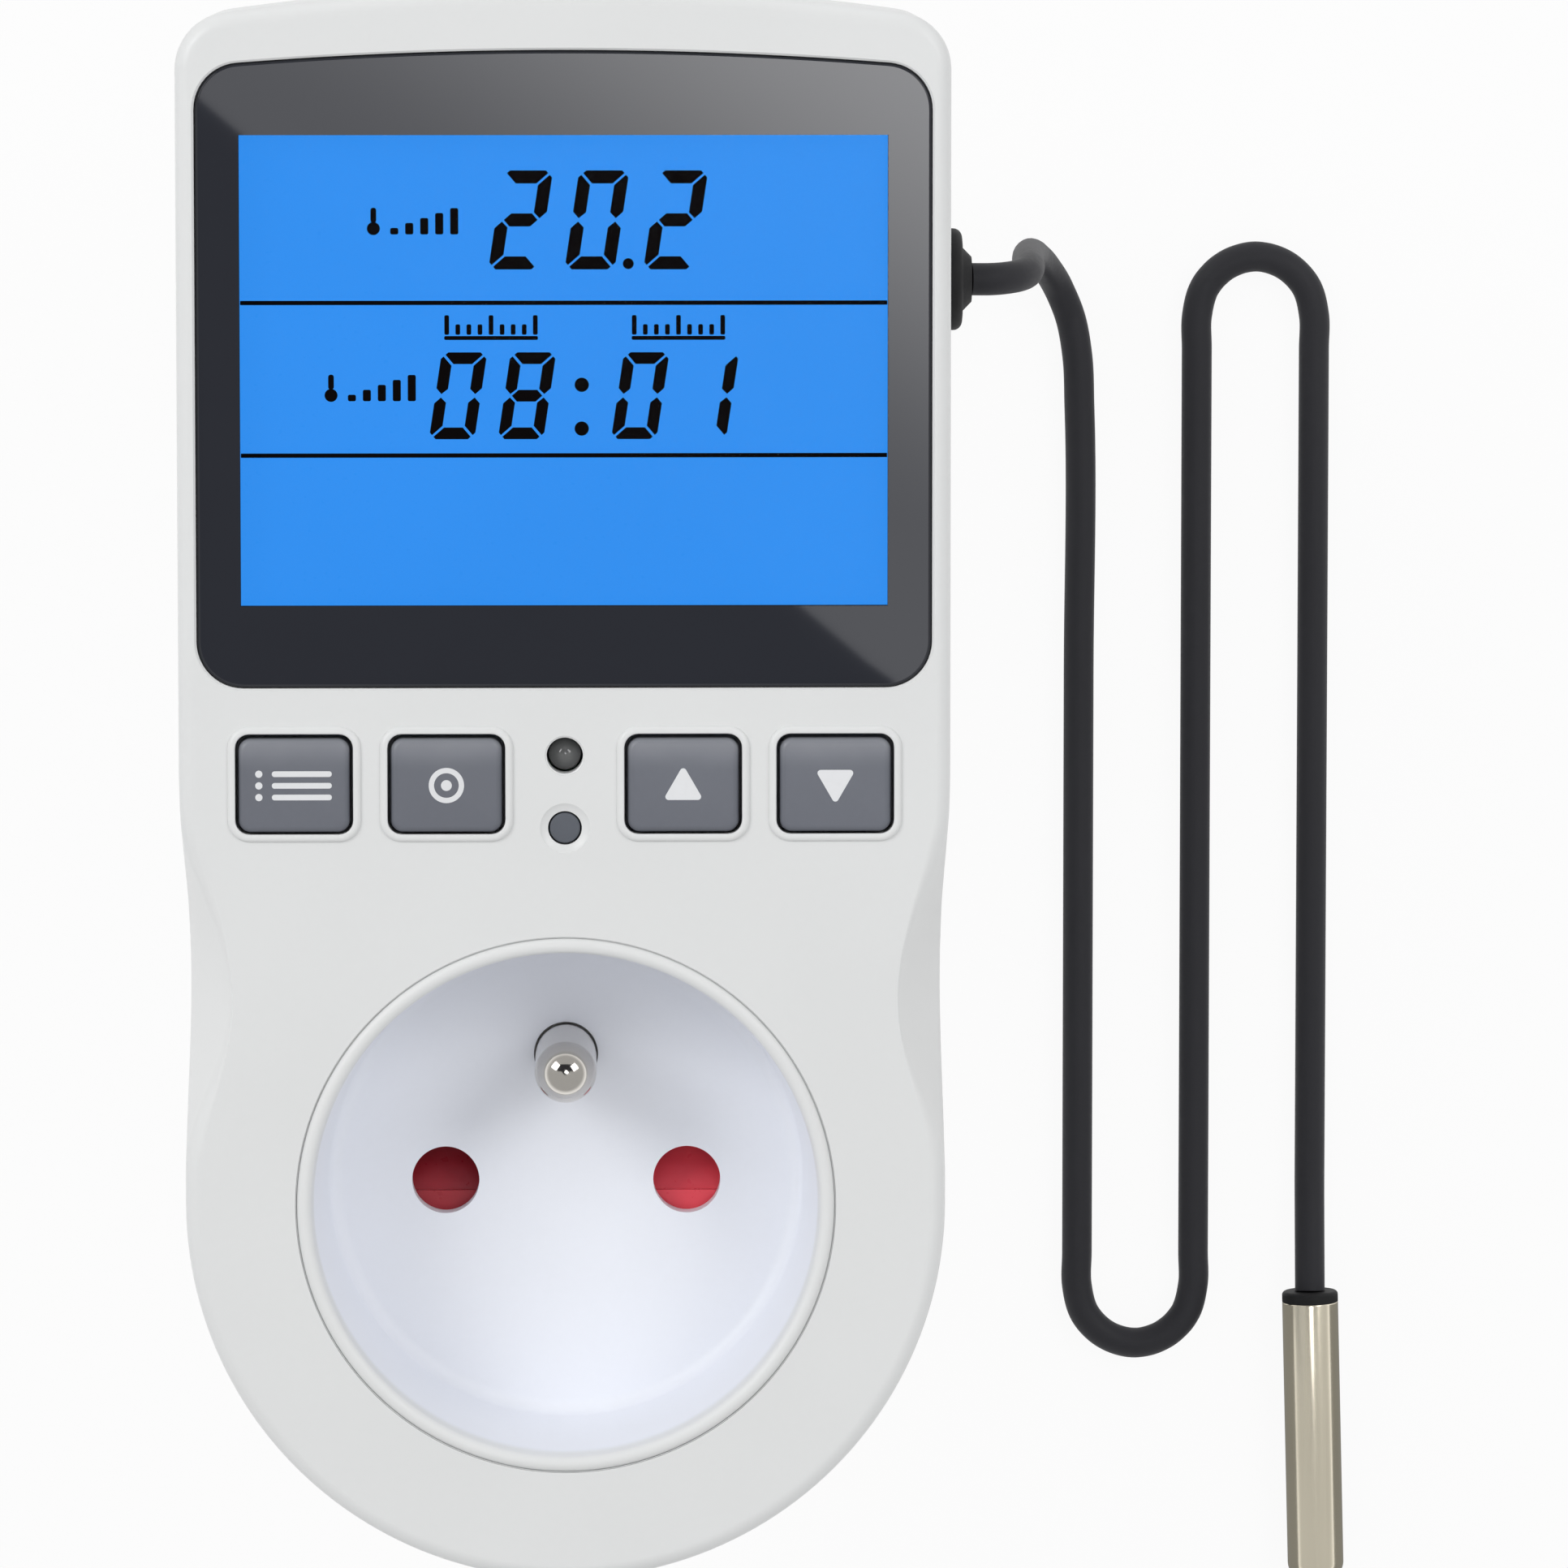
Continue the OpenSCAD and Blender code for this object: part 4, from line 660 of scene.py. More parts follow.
class Shape:
    """Grids of points gathered into one mesh."""

    def __init__(self) -> None:
        """Starts with nothing in it."""
        self.points: list[np.ndarray] = []
        self.faces: list[list[int]] = []
        self.count = 0

    def grid(
        self, points: np.ndarray, closed_rows: bool = False, capped: bool = True
    ) -> "Shape":
        """Adds a surface whose columns close on themselves.

        Args:
            points: An array of (rows, columns, 3).
            closed_rows: Whether the last row joins the first.
            capped: Whether the first and last rows are filled.

        Returns:
            The shape.
        """
        rows, columns, _ = points.shape
        row = np.arange(rows if closed_rows else rows - 1)[:, None]
        column = np.arange(columns)[None, :]
        after, beside = (row + 1) % rows, (column + 1) % columns
        quads = np.stack([
            row * columns + column, row * columns + beside,
            after * columns + beside, after * columns + column,
        ], -1).reshape(-1, 4) + self.count
        self.faces += quads.tolist()
        if capped and not closed_rows:
            ring = np.arange(columns) + self.count
            self.faces += [ring[::-1].tolist(), (ring + (rows - 1) * columns).tolist()]
        self.points.append(points.reshape(-1, 3))
        self.count += rows * columns
        return self

    def stack(
        self, outline: Callable[[float], np.ndarray], levels: Sequence[tuple[float, float]]
    ) -> "Shape":
        """Adds a closed solid: an outline, moved inwards by each level's inset, at its height."""
        return self.grid(np.stack([at_height(outline(inset), z) for z, inset in levels]))

    def turned(
        self, profile: np.ndarray, centre: Sequence[float], steps: int = 96, closed: bool = False
    ) -> "Shape":
        """Adds a profile of (radius, height) turned about Z: x is radius times cos, y times sin.

        Args:
            profile: An array of (rows, 2).
            centre: Where the axis stands, and the height that is added.
            steps: Steps of the turn.
            closed: Whether the profile closes on itself.

        Returns:
            The shape.
        """
        turn = np.linspace(0, 2 * np.pi, steps, endpoint=False)
        radius, height = profile[:, :1], profile[:, 1:]
        x, y = radius * np.cos(turn), radius * np.sin(turn)
        points = np.stack([x, y, np.broadcast_to(height, x.shape)], -1)
        return self.grid(points + np.asarray(centre), closed_rows=closed)

    def prism(self, outline: np.ndarray, low: float, high: float) -> "Shape":
        """Adds a flat plate."""
        return self.grid(np.stack([at_height(outline, low), at_height(outline, high)]))

    def columns(
        self, places: Sequence[Sequence[float]], corners: Sequence[Sequence[float]], steps: int = 48
    ) -> "Shape":
        """Adds round columns, one at each place.

        Args:
            places: Each column's x and y in millimetres.
            corners: The (radius, height) corners of a column's side, in millimetres.
            steps: Steps of the turn.

        Returns:
            The shape.
        """
        profile = np.array([(0, corners[0][1]), *corners, (0, corners[-1][1])]) * MM
        for x, y in places:
            self.turned(profile, (x * MM, y * MM, 0), steps)
        return self

    def mesh(self, name: str, angle: float = 32.0) -> bpy.types.Object:
        """Makes the object, with doubles merged and faces outwards.

        Args:
            name: The object's name.
            angle: Edges sharper than this many degrees stay sharp.

        Returns:
            The object.
        """
        data = bpy.data.meshes.new(name)
        data.from_pydata(np.concatenate(self.points).tolist(), [], self.faces)
        made = bpy.data.objects.new(name, data)
        bpy.context.scene.collection.objects.link(made)
        return tidy(made, angle)


def tidy(made: bpy.types.Object, angle: float, turn_faces: bool = True) -> bpy.types.Object:
    """Merges a mesh's doubles, turns its faces outwards and shades it smooth up to an angle.

    Args:
        made: The object.
        angle: Edges sharper than this many degrees stay sharp.
        turn_faces: Whether the faces are turned outwards.

    Returns:
        The object.
    """
    work = bmesh.new()
    work.from_mesh(made.data)
    bmesh.ops.remove_doubles(work, verts=work.verts, dist=SAME_POINT)
    bmesh.ops.dissolve_degenerate(work, edges=work.edges, dist=NO_LENGTH)
    if turn_faces:
        bmesh.ops.recalc_face_normals(work, faces=work.faces)
    work.to_mesh(made.data)
    work.free()
    made.data.shade_smooth()
    made.data.set_sharp_from_angle(angle=math.radians(angle))
    return made


def weigh(made: bpy.types.Object) -> bpy.types.Object:
    """Lets large faces lead the shading, so that flat ones stay flat beside rounds.

    Args:
        made: The object.

    Returns:
        The object.
    """
    weighted = made.modifiers.new("weighted", "WEIGHTED_NORMAL")
    weighted.keep_sharp = True
    return made


def cut(made: bpy.types.Object, cutter: bpy.types.Object) -> bpy.types.Object:
    """Takes a cutter out of an object and removes the cutter.

    Args:
        made: The object that is cut.
        cutter: What is taken out of it.

    Returns:
        The object.
    """
    step = made.modifiers.new("cut", "BOOLEAN")
    step.operation = "DIFFERENCE"
    step.solver = "EXACT"
    step.object = cutter
    result = bpy.data.meshes.new_from_object(
        made.evaluated_get(bpy.context.evaluated_depsgraph_get())
    )
    made.modifiers.clear()
    made.data = result
    bpy.data.objects.remove(cutter)
    return made


def settle(
    made: bpy.types.Object, slot: str, body: str = HOUSING, replaced: Sequence[str] = ()
) -> bpy.types.Object:
    """Gives a piece its finish and its body.

    Args:
        made: The piece.
        slot: The name of its finish in the table, most often one of the record's slots.
        body: The body it rides on.
        replaced: CAD nodes that it stands for.

    Returns:
        The piece.
    """
    made.data.materials.clear()
    made.data.materials.append(Finishes.get(slot))
    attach(made, body)
    Finishes.record_slots.get(slot, slot)
    if replaced:
        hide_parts(*replaced)
    log.info("%s: %d faces on %s", made.name, len(made.data.polygons), body)
    return made


def smooth_route(points: np.ndarray, samples: int) -> np.ndarray:
    """A curve through points: a cubic per span, with tangents weighted by the spans' lengths.

    Args:
        points: An array of (n, 3).
        samples: Samples of each span.

    Returns:
        An array of ((n - 1) * samples + 1, 3).
    """
    step = np.linalg.norm(np.diff(points, axis=0), axis=1)[:, None]
    slope = np.diff(points, axis=0) / step
    inner = (step[1:] * slope[:-1] + step[:-1] * slope[1:]) / (step[1:] + step[:-1])
    tangent = np.concatenate([slope[:1], inner, slope[-1:]])
    t = np.linspace(0, 1, samples, endpoint=False)[None, :, None]
    p0, p1 = points[:-1, None], points[1:, None]
    m0, m1 = tangent[:-1, None] * step[:, None], tangent[1:, None] * step[:, None]
    curve = (
        (2 * t**3 - 3 * t**2 + 1) * p0 + (t**3 - 2 * t**2 + t) * m0
        + (3 * t**2 - 2 * t**3) * p1 + (t**3 - t**2) * m1
    )
    return np.concatenate([curve.reshape(-1, 3), points[-1:]])


def tube_rings(route: np.ndarray, radius: float, sides: int) -> np.ndarray:
    """Rings around a route: its point plus radius times (cos of one normal, sin of the other).

    Args:
        route: An array of (n, 3).
        radius: The tube's radius.
        sides: Points of each ring.

    Returns:
        An array of (n, sides, 3).
    """
    along = np.gradient(route, axis=0)
    along /= np.linalg.norm(along, axis=1, keepdims=True)
    across = np.cross(along, np.array(ASLANT))
    across /= np.linalg.norm(across, axis=1, keepdims=True)
    other = np.cross(along, across)
    turn = np.linspace(0, 2 * np.pi, sides, endpoint=False)[None, :, None]
    ring = np.cos(turn) * across[:, None] + np.sin(turn) * other[:, None]
    return route[:, None] + radius * ring


# Studio


@dataclass
class Studio:
    """Camera, lamps, room and floor, and the cards that only mirrors see.

    One card gives the lens its slanting reflection, one is the dark room that a dome mirrors,
    and low strips beside the probe darken its sides.
    """

    eye: tuple[float, float, float] = (2.09, 97.975, 753.0)
    nod: float = 0.093
    swing: float = 0.021
    lens: float = 209.84
    sensor: float = 36.0
    clip: tuple[float, float] = (0.05, 10.0)
    aim: Colour = (0.0, 0.03, 0.03)
    lamps: tuple[tuple[str, Colour, float, float], ...] = (
        ("key", (-0.80, 0.60, 0.95), 0.55, 5.4),
        ("second", (0.70, 0.50, 1.00), 0.5, 2.9),
    )
    ambient: float = 0.60
    near_floor: Colour = (1.3, 1.3, 1.3)
    overhead: Colour = (0.56, 0.56, 0.55)
    room_band: tuple[float, float] = (0.42, 0.12)
    white: Colour = (1.0, 1.0, 1.0)
    floor_grey: Colour = (0.8, 0.8, 0.8)
    floor_glow: float = 0.93
    floor_half: float = 1.5
    floor_y: float = 0.04
    floor_t: float = 0.01
    floor_corner: float = 0.2
    floor_z: float = -19.0 * MM
    card_z: float = 0.86
    card_t: float = 0.001
    card_w: float = 0.16
    card_ends: tuple[float, float] = (0.02, 0.012)
    card_power: float = 6.35
    card_tints: tuple[Colour, Colour] = ((0.262, 0.264, 0.272), (1.0, 1.0, 1.01))
    card_band: tuple[float, float] = (0.052, 0.190)
    card_slope: float = 1.5
    lens_z: float = 52.6
    lens_line: tuple[tuple[float, float], ...] = ((-27.72, 85.2), (25.52, 40.16))
    dark_z: float = 1.3
    dark_tint: Colour = (0.04, 0.04, 0.045)
    dark_outline: tuple[tuple[float, float], ...] = (
        (-0.10, -0.085), (0.10, -0.085), (0.35, 0.20), (0.75, 0.20),
        (0.75, 0.91), (-0.75, 0.91), (-0.75, 0.20), (-0.35, 0.20),
    )
    strips: tuple[tuple[float, float, float], ...] = (
        (57.0, 0.8, 5.0), (70.0, 0.8, 5.0), (63.5, 12.0, 0.1)
    )
    strip_y: float = -31.0
    strip_l: float = 27.0
    strip_corner: float = 0.1
    strip_gap: float = 0.05
    strip_tint: Colour = (0.25, 0.25, 0.24)

    def camera(self) -> None:
        """Looks along (sin swing, -sin nod cos swing, -cos nod cos swing)."""
        sight = Vector((
            math.sin(self.swing),
            -math.sin(self.nod) * math.cos(self.swing),
            -math.cos(self.nod) * math.cos(self.swing),
        ))
        right = sight.cross(Vector((0, 1, 0))).normalized()
        up = right.cross(sight)
        turn = Matrix((right, up, -sight)).transposed().to_4x4()
        data = bpy.data.cameras.new("view")
        data.lens = self.lens
        data.sensor_width = self.sensor
        data.clip_start, data.clip_end = self.clip
        made = bpy.data.objects.new("view", data)
        made.matrix_world = Matrix.Translation(Vector(self.eye) * MM) @ turn
        bpy.context.scene.collection.objects.link(made)
        bpy.context.scene.camera = made
        bpy.context.scene.view_settings.view_transform = "Standard"

    def lamp(self, name: str, place: Colour, size: float, power: float) -> None:
        """Hangs a square lamp that faces the middle of the object.

        Args:
            name: Its name.
            place: Where it hangs, in metres.
            size: Its side in metres.
            power: Its power in watts.
        """
        data = bpy.data.lights.new(name, "AREA")
        data.size = size
        data.energy = power
        made = bpy.data.objects.new(name, data)
        sight = Vector(self.aim) - Vector(place)
        made.rotation_euler = sight.to_track_quat("-Z", "Y").to_euler()
        made.location = place
        bpy.context.scene.collection.objects.link(made)

    def world(self) -> None:
        """Lights the room evenly: white to the camera, to a mirror brightest near the floor."""
        bench = Bench("room", bpy.data.worlds.new)
        rays = bench.node("ShaderNodeLightPath", {}, {})
        heading = bench.node("ShaderNodeTexCoord", {}, {}).outputs["Generated"]
        split = bench.node("ShaderNodeSeparateXYZ", {}, {0: heading})
        low = Signal(bench, split.outputs[2]).band(*self.room_band)
        mirrored = bench.blend(low, self.overhead, self.near_floor)
        lit = bench.blend(rays.outputs["Is Glossy Ray"], (self.ambient,) * 3, mirrored)
        seen = bench.blend(rays.outputs["Is Camera Ray"], lit, self.white)
        back = bench.node("ShaderNodeBackground", {}, {"Color": seen, "Strength": 1.0})
        bench.node("ShaderNodeOutputWorld", {}, {"Surface": back.outputs[0]})
        bpy.context.scene.world = bench.owner

    def floor(self) -> None:
        """Lays a white slab that keeps the object's shadow."""
        sides = (2 * self.floor_half, 2 * self.floor_half)
        outline = rounded_rect((0, self.floor_y), sides, self.floor_corner)
        slab = Shape().prism(outline, self.floor_z - self.floor_t, self.floor_z)
        made = slab.mesh("floor")
        bench = Bench("floor_white")
        rays = bench.node("ShaderNodeLightPath", {}, {})
        seen = Signal(bench, rays.outputs["Is Camera Ray"])
        seen = seen.larger(rays.outputs["Is Glossy Ray"])
        seen = seen.larger(rays.outputs["Is Transmission Ray"])
        matte = bench.node("ShaderNodeBsdfDiffuse", {}, {"Color": self.floor_grey})
        glow = bench.node("ShaderNodeEmission", {}, {"Color": self.white, "Strength": 1.0})
        values = {0: seen * self.floor_glow, 1: matte.outputs[0], 2: glow.outputs[0]}
        mixed = bench.node("ShaderNodeMixShader", {}, values)
        made.data.materials.append(bench.output(mixed.outputs[0]))

    def mirrored(self, x: float, y: float, plane_z: float) -> np.ndarray:
        """Where the camera's ray that a level mirror at (x, y) sends back meets the card.

        Args:
            x: The mirror point's x in millimetres.
            y: Its y in millimetres.
            plane_z: The mirror's height in millimetres.

        Returns:
            The card's x and y in metres.
        """
        share = (self.card_z / MM - plane_z) / (self.eye[2] - plane_z)
        point = np.array([x, y])
        return (point + (point - np.array(self.eye[:2])) * share) * MM

    def mirror_card(
        self, name: str, shape: Shape, tint: Callable[[Bench], Value], strength: float = 1.0
    ) -> None:
        """Hangs a card that only mirrors see.

        Args:
            name: Its name.
            shape: Its solid.
            tint: What gives its colour.
            strength: How bright it is.
        """
        made = shape.mesh(name)
        bench = Bench(name)
        rays = bench.node("ShaderNodeLightPath", {}, {})
        light = {"Color": tint(bench), "Strength": strength}
        glow = bench.node("ShaderNodeEmission", {}, light)
        clear = bench.node("ShaderNodeBsdfTransparent", {}, {})
        values = {0: rays.outputs["Is Glossy Ray"], 1: clear.outputs[0], 2: glow.outputs[0]}
        mixed = bench.node("ShaderNodeMixShader", {}, values)
        made.data.materials.append(bench.output(mixed.outputs[0]))
        made.visible_diffuse = False
        made.visible_shadow = False

    def slanting(self) -> np.ndarray:
        """A band beside the slanting line that is seen on the lens.

        Returns:
            Four corners in metres.
        """
        a, b = (self.mirrored(x, y, self.lens_z) for x, y in self.lens_line)
        along = (b - a) / np.linalg.norm(b - a)
        beyond = np.array([-along[1], along[0]]) * self.card_w
        before, after = self.card_ends
        a, b = a - along * before, b + along * after
        return np.array([a, b, b + beyond, a + beyond])

    def card_tint(self, bench: Bench) -> Value:
        """Dim at the lower left and bright at the upper right: a step of x + slope times y."""
        x, y, _ = bench.axes()
        return bench.blend((x + y * self.card_slope).band(*self.card_band), *self.card_tints)

    def trough(self) -> Shape:
        """Two low strips beside the probe and one under it.

        Returns:
            The strips in one shape.
        """
        low, shape = self.floor_z + self.strip_gap * MM, Shape()
        for x, wide, high in self.strips:
            sides = (wide, self.strip_l)
            outline = rounded_rect((x, self.strip_y), sides, self.strip_corner, 2) * MM
            shape.prism(outline, low, low + high * MM)
        return shape

    def build(self) -> None:
        """Sets up the whole studio."""
        self.camera()
        self.world()
        self.floor()
        for lamp in self.lamps:
            self.lamp(*lamp)
        over = Shape().prism(self.slanting(), self.card_z, self.card_z + self.card_t)
        self.mirror_card("lens_card", over, self.card_tint, self.card_power)
        outline = np.array(self.dark_outline)
        dark = Shape().prism(outline, self.dark_z, self.dark_z + self.card_t)
        self.mirror_card("dark_card", dark, lambda bench: self.dark_tint)
        self.mirror_card("probe_trough", self.trough(), lambda bench: self.strip_tint)


# Sensor


@dataclass
class SensorCord:
    """The sensor's cord from its gland to the probe, which lie on the surface."""

    radius: float = 1.275
    probe_radius: float = 2.375
    probe_length: float = 24.0
    probe_wall: float = 0.35
    mouth_round: float = 0.12
    tip_share: float = 2 / 3
    seal_t: float = 0.9
    seal_round: float = 0.3
    seal_face: float = 0.1
    seal_play: float = 0.02
    seal_plug_l: float = 3.0
    lean: float = 1.5
    sides: int = 24
    samples: int = 10
    seal_steps: int = 64
    tube_steps: int = 72
    route: np.ndarray = field(default_factory=lambda: np.array([
        [31.95, 70.8, 35], [33.6, 70.8, 34.8], [35.1, 70.9, 33.8], [36.2, 71.1, 32],
        [36.7, 71.4, 29.3], [36.9, 71.6, 25], [37.2, 71.7, 18], [37.6, 71.7, 10],
        [38.1, 71.6, 2], [38.6, 71.4, -5], [39.2, 71, -10.3], [40.2, 70, -14.2],
        [41.4, 68.2, -16.8], [42.5, 65.6, -17.7], [43.1, 62.4, -17.7],
        [43.3, 58, -17.7], [43.3, 36, -17.7], [43.3, 10, -17.7], [43.3, -14, -17.7],
        [43.3, -16.8, -17.7], [44, -19.3, -17.7], [45.8, -21.1, -17.7], [48.3, -21.8, -17.7],
        [50.7, -21.1, -17.7], [52.5, -19.3, -17.7], [53.2, -16.8, -17.7], [53.2, -14, -17.7],
        [53.2, 24, -17.7], [53.2, 63, -17.7], [53.2, 65.7, -17.7], [53.9, 68.2, -17.7],
        [55.7, 70, -17.7], [58.1, 70.7, -17.7], [60.6, 70, -17.7], [62.4, 68.2, -17.7],
        [63.1, 65.7, -17.7], [63.1, 63, -17.7], [63.1, 24, -17.7], [63.1, -8, -17.7],
        [63.1, -17.2, -16.6],
    ]) * MM)

    def at_probe(self, shape: Shape) -> Shape:
        """Turns a shape made about Z so that it points along -Y, leaning, from the cord's end.

        Args:
            shape: The shape.

        Returns:
            The turned shape.
        """
        lean = Matrix.Rotation(math.radians(self.lean), 3, "Z")
        spin = np.array(lean @ Matrix.Rotation(math.radians(90), 3, "X"))
        shape.points = [points @ spin.T + self.route[-1] for points in shape.points]
        return shape

    def seal(self) -> bpy.types.Object:
        """Makes the collar that closes the tube: a turned profile with a short plug.

        Returns:
            The collar.
        """
        bore, edge = self.probe_radius - self.probe_wall, self.seal_round
        plug, end = bore - self.seal_play, self.seal_t + self.seal_plug_l
        profile = np.concatenate([
            [[0, 0], [bore - self.seal_face, 0]],
            arc((self.probe_radius - edge, edge), edge, -90, 0, 4),
            [[self.probe_radius, self.seal_t], [plug, self.seal_t], [plug, end], [0, end]],
        ])
        shape = self.at_probe(Shape().turned(profile * MM, (0, 0, 0), self.seal_steps))
        return settle(shape.mesh("seal_collar"), "gland_rubber", replaced=["probe_seal"])

    def tube(self) -> bpy.types.Object:
        """Makes the steel tube: a turned wall with a round tip and a rolled mouth.

        Returns:
            The tube.
        """
        r, wall, mouth = self.probe_radius, self.probe_wall, self.mouth_round
        tip_r, tip_z = r * self.tip_share, self.seal_t + self.probe_length
        profile = np.concatenate([
            [[r - wall, self.seal_t + mouth]],
            arc((r - mouth, self.seal_t + mouth), mouth, -90, 0, 3),
            arc((r - tip_r, tip_z - tip_r), tip_r, 0, 90, 14),
            [[0, tip_z], [0, tip_z - wall]],
            arc((r - tip_r, tip_z - tip_r), tip_r - wall, 90, 0, 10),
        ])
        wall = Shape().turned(profile * MM, (0, 0, 0), self.tube_steps, closed=True)
        shape = self.at_probe(wall)
        return settle(shape.mesh("steel_tube"), "probe_steel", replaced=["probe_tube"])

    def build(self) -> None:
        curve = smooth_route(self.route, self.samples)
        curve[:, 2] = np.maximum(curve[:, 2], self.route[:, 2].min())
        rings = tube_rings(curve, self.radius * MM, self.sides)
        cord = settle(Shape().grid(rings).mesh("cord"), "cord_sheath", replaced=["sensor_cord"])
        pieces = [self.seal(), self.tube(), NODES["sensor_core"]]


# Housing


@dataclass
class Shell:
    """What both shells share: the outline, the gland's notch, the screw places and the wall of the
    hollow inside.
    """

    foot_r: float = 29.5
    half: float = 29.85
    head: float = 93.8
    crown_r: float = 188.0
    corner_r: float = 4.55
    waist: tuple[float, float] = (22.0, 34.0)
    split_z: float = 35.0
    draft: float = 0.15
    wall: float = 2.0
    seam: float = 0.14
    joint: float = 0.1
    notch_r: float = 2.85
    notch_y: float = 70.8
    notch_x: tuple[float, float] = (26.0, 31.5)
    notch_steps: int = 48
    foot_steps: int = 96
    side_steps: int = 24
    waist_steps: int = 12
    corner_steps: int = 18
    crown_steps: int = 48
    angle: float = 34.0
    boss_r: float = 2.7
    screws: tuple[tuple[float, float], ...] = (
        (17.58, -17.58), (-17.58, -17.58), (25.3, 87.497), (-25.3, 87.497)
    )

    def outline(self, inset: float) -> np.ndarray:
        """Half circle, eased waist, two corner arcs and a shallow crown, moved inwards.

        Args:
            inset: How far it is moved inwards.

        Returns:
            Points in millimetres, anticlockwise.
        """
        corner_x = self.half - self.corner_r
        crown_y = self.head - self.crown_r
        corner_y = crown_y + math.sqrt((self.crown_r - self.corner_r) ** 2 - corner_x**2)
        turn = math.degrees(math.atan2(corner_y - crown_y, corner_x))
        low, high = self.waist
        share = np.linspace(0, 1, self.waist_steps + 1)
        eased = share * share * (3 - 2 * share)
        straight = np.linspace(0, low, self.side_steps + 1)[1:]
        side = np.concatenate([
            np.column_stack([np.full(self.side_steps, self.foot_r), straight]),
            np.column_stack([self.foot_r + (self.half - self.foot_r) * eased,
                             low + (high - low) * share])[1:],
        ])
        side[:, 0] -= inset
        corner_r, steps = self.corner_r - inset, self.corner_steps
        return np.concatenate([
            arc((0, 0), self.foot_r - inset, 180, 360, self.foot_steps),
            side,
            arc((corner_x, corner_y), corner_r, 0, turn, steps),
            arc((0, crown_y), self.crown_r - inset, turn, 180 - turn, self.crown_steps)[1:-1],
            arc((-corner_x, corner_y), corner_r, 180 - turn, 180, steps),
            side[::-1] * (-1, 1),
        ])

    def solid(self, levels: Sequence[tuple[float, float]]) -> Shape:
        """A closed stack of the outline at levels of (height, inset)."""
        return Shape().stack(lambda inset: self.outline(inset) * MM,
                             [(z * MM, inset) for z, inset in levels])

    def gland_notch(self, cutters: Shape) -> None:
        """Adds the gland's round notch in the joint, as a cylinder along x.

        Args:
            cutters: What the notch is added to.
        """
        turn = np.linspace(0, 2 * np.pi, self.notch_steps, endpoint=False)
        ring = np.column_stack([np.zeros(len(turn)), np.cos(turn), np.sin(turn)]) * self.notch_r
        centre = np.array([0, self.notch_y, self.split_z])
        ends = [ring + centre + (x, 0, 0) for x in self.notch_x]
        cutters.grid(np.stack(ends) * MM)


